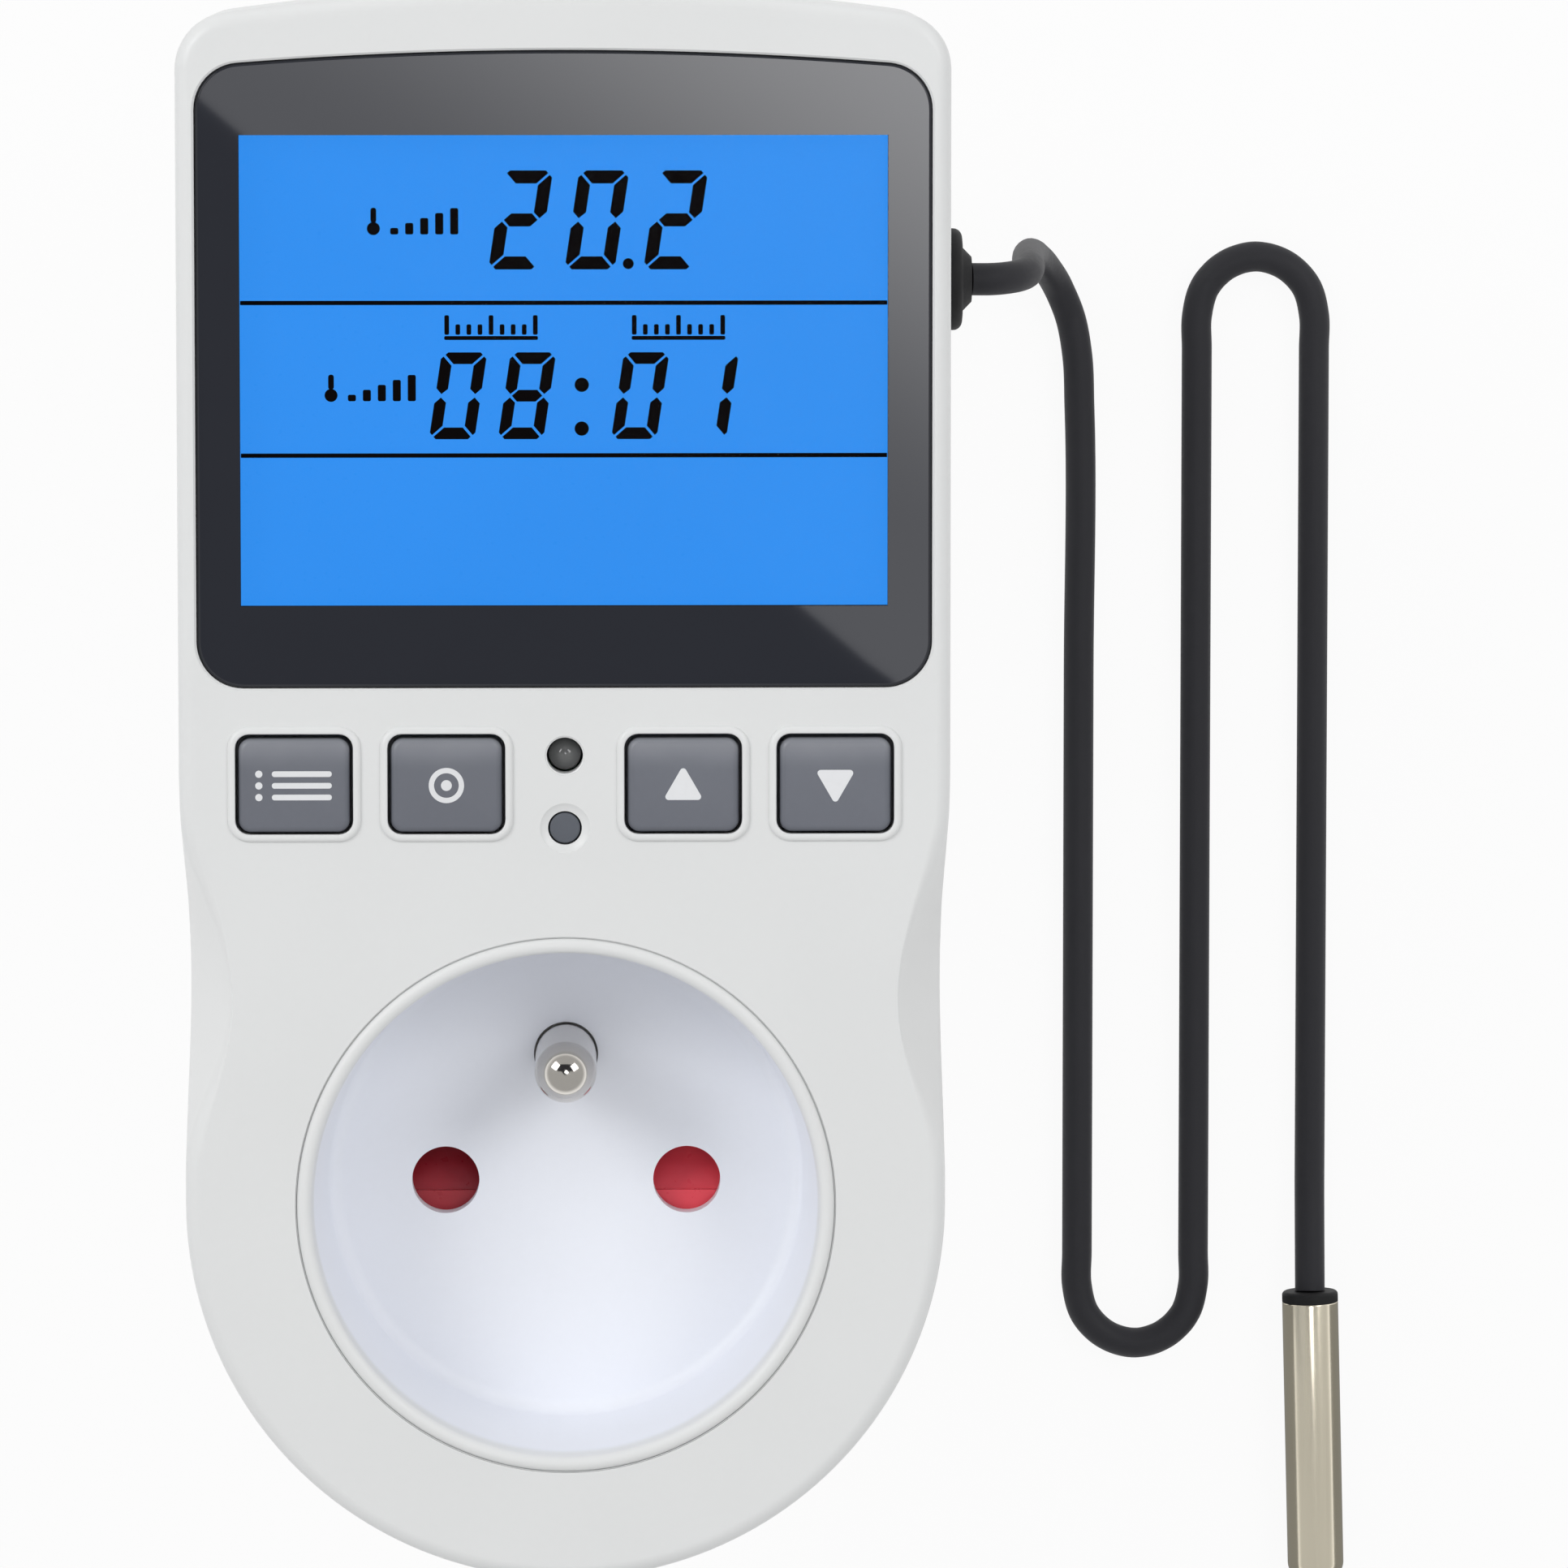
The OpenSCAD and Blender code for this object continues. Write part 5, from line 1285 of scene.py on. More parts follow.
@dataclass
class FrontShell(Shell):
    """Front shell with its finger grips, display opening, key holes, lamp holes and lips."""

    top_z: float = 53.0
    under_z: float = 50.4
    edge: float = 1.2
    grip_from: float = 20.0
    grip_fade: float = 12.0
    grip_depth: float = 3.6
    grip_y: float = 16.0
    grip_drop: float = 14.0
    grip_reach: tuple[float, float] = (14.5, 15.5)
    grip_soft: float = 0.2
    grip_crisp: float = 0.88
    lens: "DisplayWindow" = field(default_factory=lambda: DisplayWindow())
    keys: "KeyRow" = field(default_factory=lambda: KeyRow())
    lens_bevel: float = 0.16
    ledge_t: float = 1.0
    ledge_over: float = 0.1
    window_r: float = 0.3
    lamp_holes: tuple[tuple[float, float, float, float], ...] = (
        (34.9, 1.4, 0.14, 0.12), (29.3, 1.3, 0.65, 0.25)
    )
    flare_middle: tuple[float, float] = (0.7, 0.55)
    flare_rise: float = 0.02
    lip_inner: float = 0.12
    lip_angle: float = 50.0
    draft_steps: int = 16
    edge_steps: int = 10
    lamp_steps: int = 64
    recess_steps: int = 160
    recess_hole_r: float = 20.88
    boss_bore: tuple[float, float] = (1.31, 45.0)
    post_r: float = 1.55
    post_z: float = 44.4
    post_bore: tuple[float, float] = (1.01, 47.8)
    posts: tuple[tuple[float, float], ...] = (
        (-14.95, 26.9), (-14.95, 39.9), (14.95, 26.9), (14.95, 39.9)
    )

    def gripped(self, points: np.ndarray) -> np.ndarray:
        """Moves the sides inwards by a cosine squared along y that fades with depth.

        The depth is grip depth times cos squared of the share of the reach, less the slope
        times the distance under the face, and a soft step keeps it above zero. The edge's
        round, whose inset is edge times (1 - cos), shrinks by the same cos squared.

        Args:
            points: An array of (rows, columns, 3) in metres.

        Returns:
            The moved points.
        """
        y, z = points[..., 1] / MM, points[..., 2] / MM
        reach = np.where(y > self.grip_y, self.grip_reach[1], self.grip_reach[0])
        share = np.clip(abs(y - self.grip_y) / reach, 0, 1)
        slope = self.grip_depth / self.grip_drop
        bay = np.cos(share * np.pi / 2) ** 2
        raw = self.grip_depth * bay - (self.top_z - z) * slope
        fade = np.minimum(bay * self.grip_fade, 1)
        soft = (raw + np.sqrt(raw**2 + self.grip_soft**2)) / 2 * fade
        rise = np.clip((z - self.top_z + self.edge) / self.edge, 0, 1)
        soft -= self.grip_crisp * bay * self.edge * (1 - np.sqrt(1 - rise**2))
        moved, x = points.copy(), points[..., 0]
        moved[..., 0] -= np.sign(x) * soft * MM * (abs(x) > self.grip_from * MM)
        return moved

    def levels(self) -> list[tuple[float, float]]:
        """Seam chamfer, even steps of draft, then the rounded edge of the face.

        Returns:
            Pairs of (height, inset) in millimetres.
        """
        shoulder = self.top_z - self.edge
        rise = np.linspace(self.split_z + self.seam, shoulder, self.draft_steps + 1)
        lean = self.draft * (rise - self.split_z) / (shoulder - self.split_z)
        quarter = arc((-self.draft - self.edge, shoulder), self.edge, 0, 90, self.edge_steps)
        return (
            [(self.split_z, self.joint)]
            + [(float(z), float(inset)) for z, inset in zip(rise, lean)]
            + [(float(z), float(-x)) for x, z in quarter[1:]]
        )

    def lamp_hole(self, r: float, flare: float, depth: float) -> list[tuple[float, float]]:
        """A hole's side: straight, then flared in two steps up to the face.

        Args:
            r: The hole's radius.
            flare: How much wider its mouth is.
            depth: How deep the flare starts.

        Returns:
            Its corners as (radius, height) in millimetres.
        """
        top, (wide, deep) = self.top_z, self.flare_middle
        return [
            (r, self.under_z - THROUGH), (r, top - depth),
            (r + flare * wide, top - depth * deep), (r + flare, top + self.flare_rise),
            (r + flare, top + THROUGH),
        ]

    def openings(self) -> Shape:
        """Cutters for the lens, the keys, the lamps, the recess, the gland and the screws.

        Returns:
            The cutters in one shape.
        """
        cutters, top, over = Shape(), self.top_z, self.ledge_over
        cutters.stack(self.lens.opening, [
            ((self.under_z + self.ledge_t) * MM, 0.0), ((top - self.lens_bevel) * MM, 0.0),
            ((top + over) * MM, -self.lens_bevel - over),
        ])
        low, high = self.under_z - THROUGH, top + THROUGH
        for _, x, _ in self.keys.keys:
            cutters.prism(self.keys.hole(x) * MM, low * MM, high * MM)
        for y, *sizes in self.lamp_holes:
            cutters.columns([(0, y)], self.lamp_hole(*sizes), self.lamp_steps)
        recess_r = self.recess_hole_r
        cutters.columns([(0, 0)], ((recess_r, low), (recess_r, high)), self.recess_steps)
        self.gland_notch(cutters)
        (r, bore_z), (post_r, post_z) = self.boss_bore, self.post_bore
        cutters.columns(self.screws, ((r, self.split_z - THROUGH), (r, bore_z)))
        return cutters.columns(self.posts, ((post_r, self.post_z - THROUGH), (post_r, post_z)))

    def lips(self) -> Shape:
        """Raised lips round the key holes: a rounded band between two rectangles.

        Returns:
            The four lips in one shape.
        """
        shape, keys, top = Shape(), self.keys, self.top_z
        rise, small, low = keys.lip_rise, self.lip_inner, top - SUNK
        outer = arc((keys.lip_w - rise, top), rise, 0, 90, 6)
        inner = arc((small, top + rise - small), small, 90, 180, 4)
        section = np.concatenate([[[0.0, low], [keys.lip_w, low]], outer, inner])
        for _, x, _ in keys.keys:
            rings = [at_height(keys.hole(x, grow), z) for grow, z in section]
            shape.grid(np.stack(rings) * MM, closed_rows=True)
        return shape

    def build(self) -> None:
        """Hollows the solid, cuts the openings and adds the lips."""
        block = self.solid(self.levels())
        block.points = [self.gripped(points) for points in block.points]
        made = block.mesh("front_shell")
        room = self.solid([(self.split_z - THROUGH, self.wall), (self.under_z, self.wall)])
        room.points = [self.gripped(points) for points in room.points]
        high = self.under_z + SUNK
        boss = ((self.boss_r, self.split_z - 2 * THROUGH), (self.boss_r, high))
        post = ((self.post_r, self.post_z), (self.post_r, high))
        kept = Shape().columns(self.screws, boss).columns(self.posts, post)
        cut(made, cut(room.mesh("room_cutter"), kept.mesh("post_cutter")))
        outline = rounded_rect((0, self.lens.view_mid), self.lens.ledge, self.window_r, 3) * MM
        top = self.under_z + self.ledge_t + self.ledge_over
        window = Shape().prism(outline, (self.under_z - THROUGH) * MM, top * MM)
        cut(made, window.mesh("window_cutter"))
        cut(made, self.openings().mesh("opening_cutter"))
        weigh(tidy(made, self.angle))
        settle(made, "housing_plastic", replaced=["front_cover"])
        lips = weigh(self.lips().mesh("key_lips", self.lip_angle))
        settle(lips, "housing_plastic")


@dataclass
class RearShell(Shell):
    """Rear shell with its round hole for the plug and its screw pockets."""

    back_z: float = 17.0
    inner_z: float = 19.0
    edge: float = 3.0
    plug_hole_r: float = 18.6
    pocket_r: float = 2.7
    pocket_z: float = 19.4
    pocket_flare: float = 0.3
    flare_z: tuple[float, float] = (-0.02, 0.25)
    edge_steps: int = 12
    hole_steps: int = 128
    shank_r: float = 1.6
    seat: tuple[float, float] = (3.7, 21.6)
    post: tuple[float, float] = (2.3, 21.5)
    post_bore: tuple[float, float] = (1.01, 18.1)
    posts: tuple[tuple[float, float], ...] = (
        (-21.5, 29.6), (-21.5, 79.0), (21.5, 29.6), (21.5, 79.0)
    )

    def levels(self) -> list[tuple[float, float]]:
        """The rounded back edge, then draft up to the seam.

        Returns:
            Pairs of (height, inset) in millimetres.
        """
        centre = (-self.draft - self.edge, self.back_z + self.edge)
        quarter = arc(centre, self.edge, -90, 0, self.edge_steps)
        return [(float(z), float(-x)) for x, z in quarter] + [
            (self.split_z - self.seam, 0.0), (self.split_z, self.joint)
        ]

    def build(self) -> None:
        """Hollows the solid and cuts the hole and the pockets."""
        made = self.solid(self.levels()).mesh("rear_shell")
        above = self.split_z + THROUGH
        room = self.solid([(self.inner_z, self.wall), (above, self.wall)])
        low, boss_top = self.inner_z - SUNK, self.split_z + 2 * THROUGH
        (wide, seat_z), (post_r, post_z) = self.seat, self.post
        boss = ((wide, low), (wide, seat_z), (self.boss_r, seat_z), (self.boss_r, boss_top))
        post = ((post_r, low), (post_r, post_z))
        kept = Shape().columns(self.screws, boss).columns(self.posts, post)
        cut(made, cut(room.mesh("room_cutter"), kept.mesh("post_cutter")))
        back, hole_r = self.back_z - THROUGH, self.plug_hole_r
        hole = ((hole_r, back), (hole_r, self.inner_z + THROUGH))
        cutters = Shape().columns([(0, 0)], hole, self.hole_steps)
        self.gland_notch(cutters)
        flare, (mouth_z, throat_z) = self.pocket_r + self.pocket_flare, self.flare_z
        pocket = (
            (flare, back), (flare, self.back_z + mouth_z),
            (self.pocket_r, self.back_z + throat_z), (self.pocket_r, self.pocket_z),
            (self.shank_r, self.pocket_z), (self.shank_r, above),
        )
        bore_r, bore_z = self.post_bore
        bore = ((bore_r, bore_z), (bore_r, post_z + THROUGH))
        cutters.columns(self.screws, pocket).columns(self.posts, bore)
        cut(made, cutters.mesh("hole_cutter"))
        weigh(tidy(made, self.angle))
        settle(made, "housing_plastic", replaced=["rear_housing"])


def smooth_copy(node: str, name: str, angle: float) -> bpy.types.Object:
    """Copies a CAD node and merges its doubles.

    Args:
        node: The CAD node.
        name: The copy's name.
        angle: Edges sharper than this many degrees stay sharp.

    Returns:
        The copy.
    """
    made = bpy.data.objects.new(name, NODES[node].data.copy())
    bpy.context.scene.collection.objects.link(made)
    return tidy(made, angle, turn_faces=False)


@dataclass
class PlugShell:
    """The plug body, a smooth copy of its node."""

    angle: float = 30.0

    def build(self) -> None:
        """Copies the node and weighs its normals."""
        made = weigh(smooth_copy("plug_body", "plug_shell", self.angle))
        settle(made, "housing_plastic", replaced=["plug_body"])


@dataclass
class HousingScrews:
    """The four housing screws, with a cross recess in each head."""

    reach: float = 1.7
    half: float = 0.42
    depth: float = 1.1
    taper: float = 0.6
    thinning: float = 3.0
    mouth: tuple[float, float] = (-0.1, 0.02)
    angle: float = 30.0

    def cross(self, inset: float) -> np.ndarray:
        """Twelve corners of a cross whose arms are shortened, and thinned by a share of that.

        Args:
            inset: How far the arms are shortened.

        Returns:
            Points in millimetres, anticlockwise.
        """
        reach, half = self.reach - inset, self.half - inset / self.thinning
        arm = np.array([(reach, -half), (reach, half), (half, half)])
        quarter = np.array([(0, 1), (-1, 0)])
        return np.concatenate([arm @ np.linalg.matrix_power(quarter, turn) for turn in range(4)])

    def build(self) -> None:
        """Cuts a tapering cross into each head of a copy of the screws."""
        made = smooth_copy("housing_screws", "screws", self.angle)
        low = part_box("housing_screws")[0][2] / MM
        levels = [(low + z, 0.0) for z in self.mouth] + [(low + self.depth, self.taper)]
        cutters = Shape()
        for x, y in Shell.screws:
            rings = [at_height(self.cross(inset) + (x, y), z) for z, inset in levels]
            cutters.grid(np.stack(rings) * MM)
        cut(made, cutters.mesh("cross_cutter"))
        weigh(tidy(made, self.angle, turn_faces=False))
        settle(made, "zinc_screw", replaced=["housing_screws"])


@dataclass
class SocketRecess:
    """Recess, rim and retaining flange as one turned piece, with the pin holes cut."""

    mouth_r: float = 19.6
    floor_r: float = 18.7
    rim_r: float = 20.8
    floor_z: float = 38.0
    under_z: float = 36.0
    rim_z: float = 53.2
    fillet_r: float = 1.2
    step_w: float = 0.06
    step_z: tuple[float, float] = (0.3, 0.33)
    flange_w: float = 1.1
    flange_z: tuple[float, float] = (48.9, 50.4)
    pin_x: float = 9.5
    hole_r: float = 2.65
    earth_y: float = 10.0
    earth_hole_r: float = 2.52
    steps: int = 160
    hole_steps: int = 64
    angle: float = 40.0

    def profile(self) -> np.ndarray:
        """Floor, fillet, leaning wall, half round rim, outer wall with flange, underside.

        Returns:
            (radius, height) in metres.
        """
        half, fillet = (self.rim_r - self.mouth_r) / 2, self.fillet_r
        out, wall = self.rim_r + self.flange_w, self.rim_r + self.step_w
        flange_low, flange_high = self.flange_z
        first, second = (self.rim_z - drop for drop in self.step_z)
        return np.concatenate([
            [[0, self.floor_z]],
            arc((self.floor_r - fillet, self.floor_z + fillet), fillet, -90, 0, 8),
            arc((self.mouth_r + half, self.rim_z - half), half, 180, 0, 14),
            [[self.rim_r, first], [wall, second], [wall, flange_high], [out, flange_high],
             [out, flange_low], [self.rim_r, flange_low], [self.rim_r, self.under_z],
             [0, self.under_z]],
        ]) * MM

    def build(self) -> None:
        """Turns the profile and cuts the holes."""
        made = Shape().turned(self.profile(), (0, 0, 0), self.steps).mesh("recess")
        low, high, holes = self.under_z - THROUGH, self.floor_z + THROUGH, Shape()
        pins, earth = ((-self.pin_x, 0.0), (self.pin_x, 0.0)), ((0.0, self.earth_y),)
        for places, r in ((pins, self.hole_r), (earth, self.earth_hole_r)):
            holes.columns(places, ((r, low), (r, high)), self.hole_steps)
        cut(made, holes.mesh("hole_cutter"))
        weigh(tidy(made, self.angle))
        settle(made, "insert_plastic", replaced=["socket_insert", "socket_face"])


# Face


@dataclass
class DisplayWindow:
    """The printed lens, the lit picture under it and what the picture shows."""

    half_w: float = 28.25
    low: float = 40.1
    high: float = 89.0
    crown_r: float = 320.0
    corner_r: float = 3.6
    lens_z: tuple[float, float] = (51.6, 52.6)
    edge: float = 0.25
    gap: float = 0.05
    corner_steps: int = 12
    crown_steps: int = 40
    view_half: float = 24.85
    view_y: tuple[float, float] = (46.4, 82.5)
    view_play: float = 1.0
    acrylic: PrintedLens = PrintedLens(
        (0.028, 0.030, 0.038), 0.02, cell=0.004, relief=0.0, drift=0.02
    )
    glass_z: float = 50.4
    ink_t: float = 0.04
    slant: float = 8.6
    line_t: float = 0.33
    line_corner: float = 0.05
    lines_y: tuple[float, float] = (57.87, 69.6)
    lit: ClassVar[dict[str, str]] = {"0": "abcdef", "1": "bc", "2": "abged", "8": "abcdefg"}
    rows: tuple[tuple, ...] = (
        (72.16, 7.59, 3.85, 1.0, (("2", -5.8), ("0", 0.05), ("2", 6.1))),
        (59.12, 6.68, 3.5, 0.9, (("0", -10.4), ("8", -5.1), ("0", 3.6), ("1", 8.95))),
    )
    bar_gap: float = 0.13
    bar_mitre: float = 0.42
    bar_shoulder: float = 0.6
    dots: tuple[tuple[float, float, float], ...] = (
        (1.35, 59.93, 0.55), (1.36, 63.3, 0.55), (4.95, 72.6, 0.42)
    )
    gauges: tuple[tuple[float, float], ...] = ((-14.6, 75.9), (-17.9, 63.1))
    bulb: tuple[float, float] = (0.6, 0.5)
    stem: tuple[float, float, float, float] = (0.42, 0.44, 1.16, 0.2)
    steps: tuple[float, float, float, float] = (1.6, 1.15, 0.5, 0.38)
    step_count: int = 5
    step_w: float = 0.62
    step_foot: float = 1.05
    step_corner: float = 0.12
    rulers: tuple[tuple[float, float], ...] = ((-5.6, 67.65), (8.8, 67.65))
    ruler: tuple[float, float, float] = (0.75, 7.2, 0.3)
    ticks: tuple[float, float, float, float] = (3.4, 0.85, 0.5, 0.36)
    tick_count: int = 9
    tick_group: int = 4
    tick_tall: tuple[float, float] = (0.8, 1.5)
    tick_corner: float = 0.1

    @property
    def view_mid(self) -> float:
        """The middle of the picture along y."""
        return sum(self.view_y) / 2

    @property
    def ledge(self) -> tuple[float, float]:
        """Width and height of the opening in the shell under the lens."""
        play = self.view_play
        return 2 * self.view_half + play, self.view_y[1] - self.view_y[0] + play

    def opening(self, inset: float) -> np.ndarray:
        """The lens's outline without its gap, in metres."""
        return self.outline(inset - self.gap)

    def outline(self, inset: float) -> np.ndarray:
        """Two lower corner arcs, two upper ones and a shallow crown between them.

        Args:
            inset: How far it is moved inwards, besides its gap.

        Returns:
            Points in metres, anticlockwise.
        """
        r, x = self.corner_r, self.half_w - self.corner_r
        crown_y = self.high - self.crown_r
        y = crown_y + math.sqrt((self.crown_r - r) ** 2 - x * x)
        turn = math.degrees(math.atan2(y - crown_y, x))
        inset, steps = inset + self.gap, self.corner_steps
        return np.concatenate([
            arc((-x, self.low + r), r - inset, 180, 270, steps),
            arc((x, self.low + r), r - inset, 270, 360, steps),
            arc((x, y), r - inset, 0, turn, steps),
            arc((0, crown_y), self.crown_r - inset, turn, 180 - turn, self.crown_steps)[1:-1],
            arc((-x, y), r - inset, 180 - turn, 180, steps),
        ]) * MM

    def lens(self) -> None:
        """Makes the slab, with a small round along its upper edge."""
        half_h = (self.view_y[1] - self.view_y[0]) / 2
        window = (0.0, self.view_mid * MM, self.view_half * MM, half_h * MM)
        Finishes.table["lens_acrylic"] = replace(self.acrylic, window=window)
        levels = [(z * MM, inset) for z, inset in rounded_levels(*self.lens_z, self.edge)]
        made = Shape().stack(self.outline, levels).mesh("lens")
        settle(weigh(made), "lens_acrylic", replaced=["display_lens"])

    def bars(self, width: float, height: float, stroke: float) -> dict[str, np.ndarray]:
        """The seven strokes of a digit: mitred at the corners, pointed in the middle.

        Args:
            width: The digit's width.
            height: Its height.
            stroke: Its stroke.

        Returns:
            Each stroke's outline by its letter.
        """
        w, h, t, m = width, height, stroke, height / 2
        g, c = self.bar_gap, stroke * self.bar_mitre
        s = g * self.bar_shoulder
        top = np.array([[g + c, h], [w - g - c, h], [w - g - c / 2, h - c / 2],
                        [w - t - g, h - t], [t + g, h - t], [g + c / 2, h - c / 2]])
        left = np.array([[0, h - g - c], [c / 2, h - g - c / 2], [t, h - t - g],
                         [t, m + t / 2 + s], [t / 2, m + g], [0, m + t / 2 + g]])
        middle = np.array([[t / 2 + g, m], [t + g, m + t / 2], [w - t - g, m + t / 2],
                           [w - t / 2 - g, m], [w - t - g, m - t / 2], [t + g, m - t / 2]])
        flip_x, flip_y = np.array([w, 0.0]), np.array([0.0, h])
        across, down = np.array([-1, 1]), np.array([1, -1])
        right = left * across + flip_x
        return {
            "a": top, "f": left, "b": right, "g": middle, "d": top * down + flip_y,
            "e": left * down + flip_y, "c": right * down + flip_y,
        }

    def plate(self, shape: Shape, outline: np.ndarray) -> None:
        """Adds a thin plate of ink on the glass.

        Args:
            shape: What it is added to.
            outline: Its outline in millimetres.
        """
        shape.prism(outline * MM, self.glass_z * MM, (self.glass_z + self.ink_t) * MM)

    def ink(self) -> None:
        """Prints the digits, the rules and the small marks."""
        shape, lean = Shape(), math.tan(math.radians(self.slant))
        for base, height, width, stroke, digits in self.rows:
            bars = self.bars(width, height, stroke)
            for digit, x in digits:
                for bar in (bars[letter] for letter in self.lit[digit]):
                    aslant = bar[:, 0] + bar[:, 1] * lean + x
                    self.plate(shape, np.column_stack([aslant, bar[:, 1] + base]))
        for y in self.lines_y:
            sides = (2 * self.view_half, self.line_t)
            self.plate(shape, rounded_rect((0, y), sides, self.line_corner, 2))
        for x, y, r in self.dots:
            self.plate(shape, disc((x, y), r))
        for x, y in self.gauges:
            self.thermometer(shape, x, y)
        for x, y in self.rulers:
            self.scale(shape, x, y)
        settle(shape.mesh("picture_ink"), "picture_ink")

    def thermometer(self, shape: Shape, x: float, y: float) -> None:
        """Adds a bulb with a stem, and beside it bars of growing height.

        Args:
            shape: What they are added to.
            x: The stem's place along x.
            y: Its place along y.
        """
        drop, r = self.bulb
        rise, wide, tall, corner = self.stem
        self.plate(shape, arc((x, y - drop), r, 110, 430, 22))
        self.plate(shape, rounded_rect((x, y + rise), (wide, tall), corner, 4))
        start, pitch, low, growth = self.steps
        for i in range(self.step_count):
            tall = low + growth * i
            centre = (x + start + pitch * i, y - self.step_foot + tall / 2)
            self.plate(shape, rounded_rect(centre, (self.step_w, tall), self.step_corner, 2))

    def scale(self, shape: Shape, x: float, y: float) -> None:
        """Adds a short ruler of upright ticks on a rule, the first of each group longer.

        Args:
            shape: What it is added to.
            x: Its middle along x.
            y: Its middle along y.
        """
        drop, long, thick = self.ruler
        self.plate(shape, rounded_rect((x, y - drop), (long, thick), self.tick_corner, 2))
        start, pitch, foot, wide = self.ticks
        for i in range(self.tick_count):
            tall = self.tick_tall[i % self.tick_group == 0]
            centre = (x - start + pitch * i, y - foot + tall / 2)
            self.plate(shape, rounded_rect(centre, (wide, tall), self.tick_corner, 2))

    def build(self) -> None:
        """Builds the lens and the picture."""
        self.lens()
        self.ink()


class Mark(Enum):
    """The generic mark on a key."""

    LIST = "three bars with a dot before each"
    RING = "ring with a dot in it"
    UP = "triangle pointing up"
    DOWN = "triangle pointing down"


@dataclass
class KeyRow:
    """Four keys with their caps, flanges, posts and white marks."""

    size: tuple[float, float] = (8.55, 7.25)
    y: float = 32.65
    corner_r: float = 0.95
    flange_lip: float = 0.75
    flange_z: tuple[float, float] = (49.4, 50.1)
    post_r: float = 1.5
    post_z: float = 48.7
    top_z: float = 53.35
    edge: float = 0.5
    ink_t: float = 0.03
    gaps: tuple[float, float, float] = (0.25, 0.33, 0.15)
    least_corner: float = 0.2
    lip_w: float = 0.6
    lip_rise: float = 0.35
    bar: tuple[float, float, float] = (4.6, 0.44, 0.2)
    bar_x: float = 0.6
    bar_pitch: float = 0.9
    bar_dot: tuple[float, float] = (-2.7, 0.28)
    ring: tuple[float, float] = (0.95, 1.36)
    ring_dot: float = 0.42
    ring_steps: int = 48
    corner_out: float = 1.3
    corner_round: float = 0.25
    corner_drop: float = 0.25
    corner_steps: int = 6
    edge_steps: int = 8
    angle: float = 40.0
    keys: tuple[tuple[str, float, Mark], ...] = (
        ("mode", -20.8, Mark.LIST), ("set", -9.1, Mark.RING),
        ("up", 9.1, Mark.UP), ("down", 20.8, Mark.DOWN),
    )

    def hole(self, x: float, grow: float = 0.0) -> np.ndarray:
        """The outline of a key's hole, grown outwards.

        Args:
            x: Where the key stands.
            grow: How far the outline is moved outwards.

        Returns:
            Points in millimetres.
        """
        side, head, foot = self.gaps
        size = (self.size[0] + 2 * (side + grow), self.size[1] + head + foot + 2 * grow)
        return rounded_rect((x, self.y + (head - foot) / 2), size, self.corner_r + side / 2 + grow)

    def cap(self, key: str, x: float) -> None:
        """Makes one closed stack of rings: post, flange, cap with a rounded upper edge.

        Args:
            key: The key's name.
            x: Where it stands.
        """
        lip, steps = self.flange_lip, self.corner_steps
        grown = (self.size[0] + 2 * lip, self.size[1] + 2 * lip)
        post = np.concatenate([
            arc((x, self.y), self.post_r, 90 * i, 90 * i + 90, steps) for i in range(4)
        ])
        flange = rounded_rect((x, self.y), grown, self.corner_r + lip, steps)
        body = rounded_rect((x, self.y), self.size, self.corner_r, steps)
        rings = [(post, self.post_z), (post, self.flange_z[0]), (flange, self.flange_z[0]),
                 (flange, self.flange_z[1]), (body, self.flange_z[1])]
        top = self.top_z - self.ink_t
        for z, inset in rounded_levels(self.flange_z[1], top, self.edge, self.edge_steps)[1:]:
            smaller = (self.size[0] - 2 * inset, self.size[1] - 2 * inset)
            corner = max(self.corner_r - inset, self.least_corner)
            rings.append((rounded_rect((x, self.y), smaller, corner, steps), z))
        points = np.stack([at_height(ring, z) for ring, z in rings]) * MM
        made = Shape().grid(points).mesh(key + "_cap", self.angle)
        settle(made, "button_plastic", key + "_key", [key + "_button"])

    def mark(self, key: str, x: float, kind: Mark) -> None:
        """Prints the mark in white on the cap.

        Args:
            key: The key's name.
            x: Where the key stands.
            kind: Which mark it has.
        """
        shape, y = Shape(), self.y
        low, high = self.top_z - self.ink_t, self.top_z
        outlines: list[np.ndarray] = []
        if kind is Mark.LIST:
            wide, tall, corner = self.bar
            dot_x, dot_r = self.bar_dot
            for row in (y + self.bar_pitch * i for i in (-1, 0, 1)):
                outlines.append(rounded_rect((x + self.bar_x, row), (wide, tall), corner, 4))
                outlines.append(disc((x + dot_x, row), dot_r))
        elif kind is Mark.RING:
            inner, outer = self.ring
            band = np.array([[inner, low], [outer, low], [outer, high], [inner, high]])
            shape.turned(band * MM, (x * MM, y * MM, 0), self.ring_steps, closed=True)
            outlines.append(disc((x, y), self.ring_dot))
        else:
            turns = [(90 if kind is Mark.UP else 270) + 120 * i for i in range(3)]
            centre = (x, y - self.corner_drop if kind is Mark.UP else y + self.corner_drop)
            outlines.append(np.concatenate([
                arc(arc(centre, self.corner_out, turn, turn, 0)[0], self.corner_round,
                    turn - 60, turn + 60, self.corner_steps)
                for turn in turns
            ]))
        for outline in outlines:
            shape.prism(outline * MM, low * MM, high * MM)
        made = shape.mesh(key + "_mark")
        settle(made, "mark_white", key + "_key")

    def build(self) -> None:
        """Builds every key."""
        for key, x, kind in self.keys:
            self.cap(key, x)
            self.mark(key, x, kind)


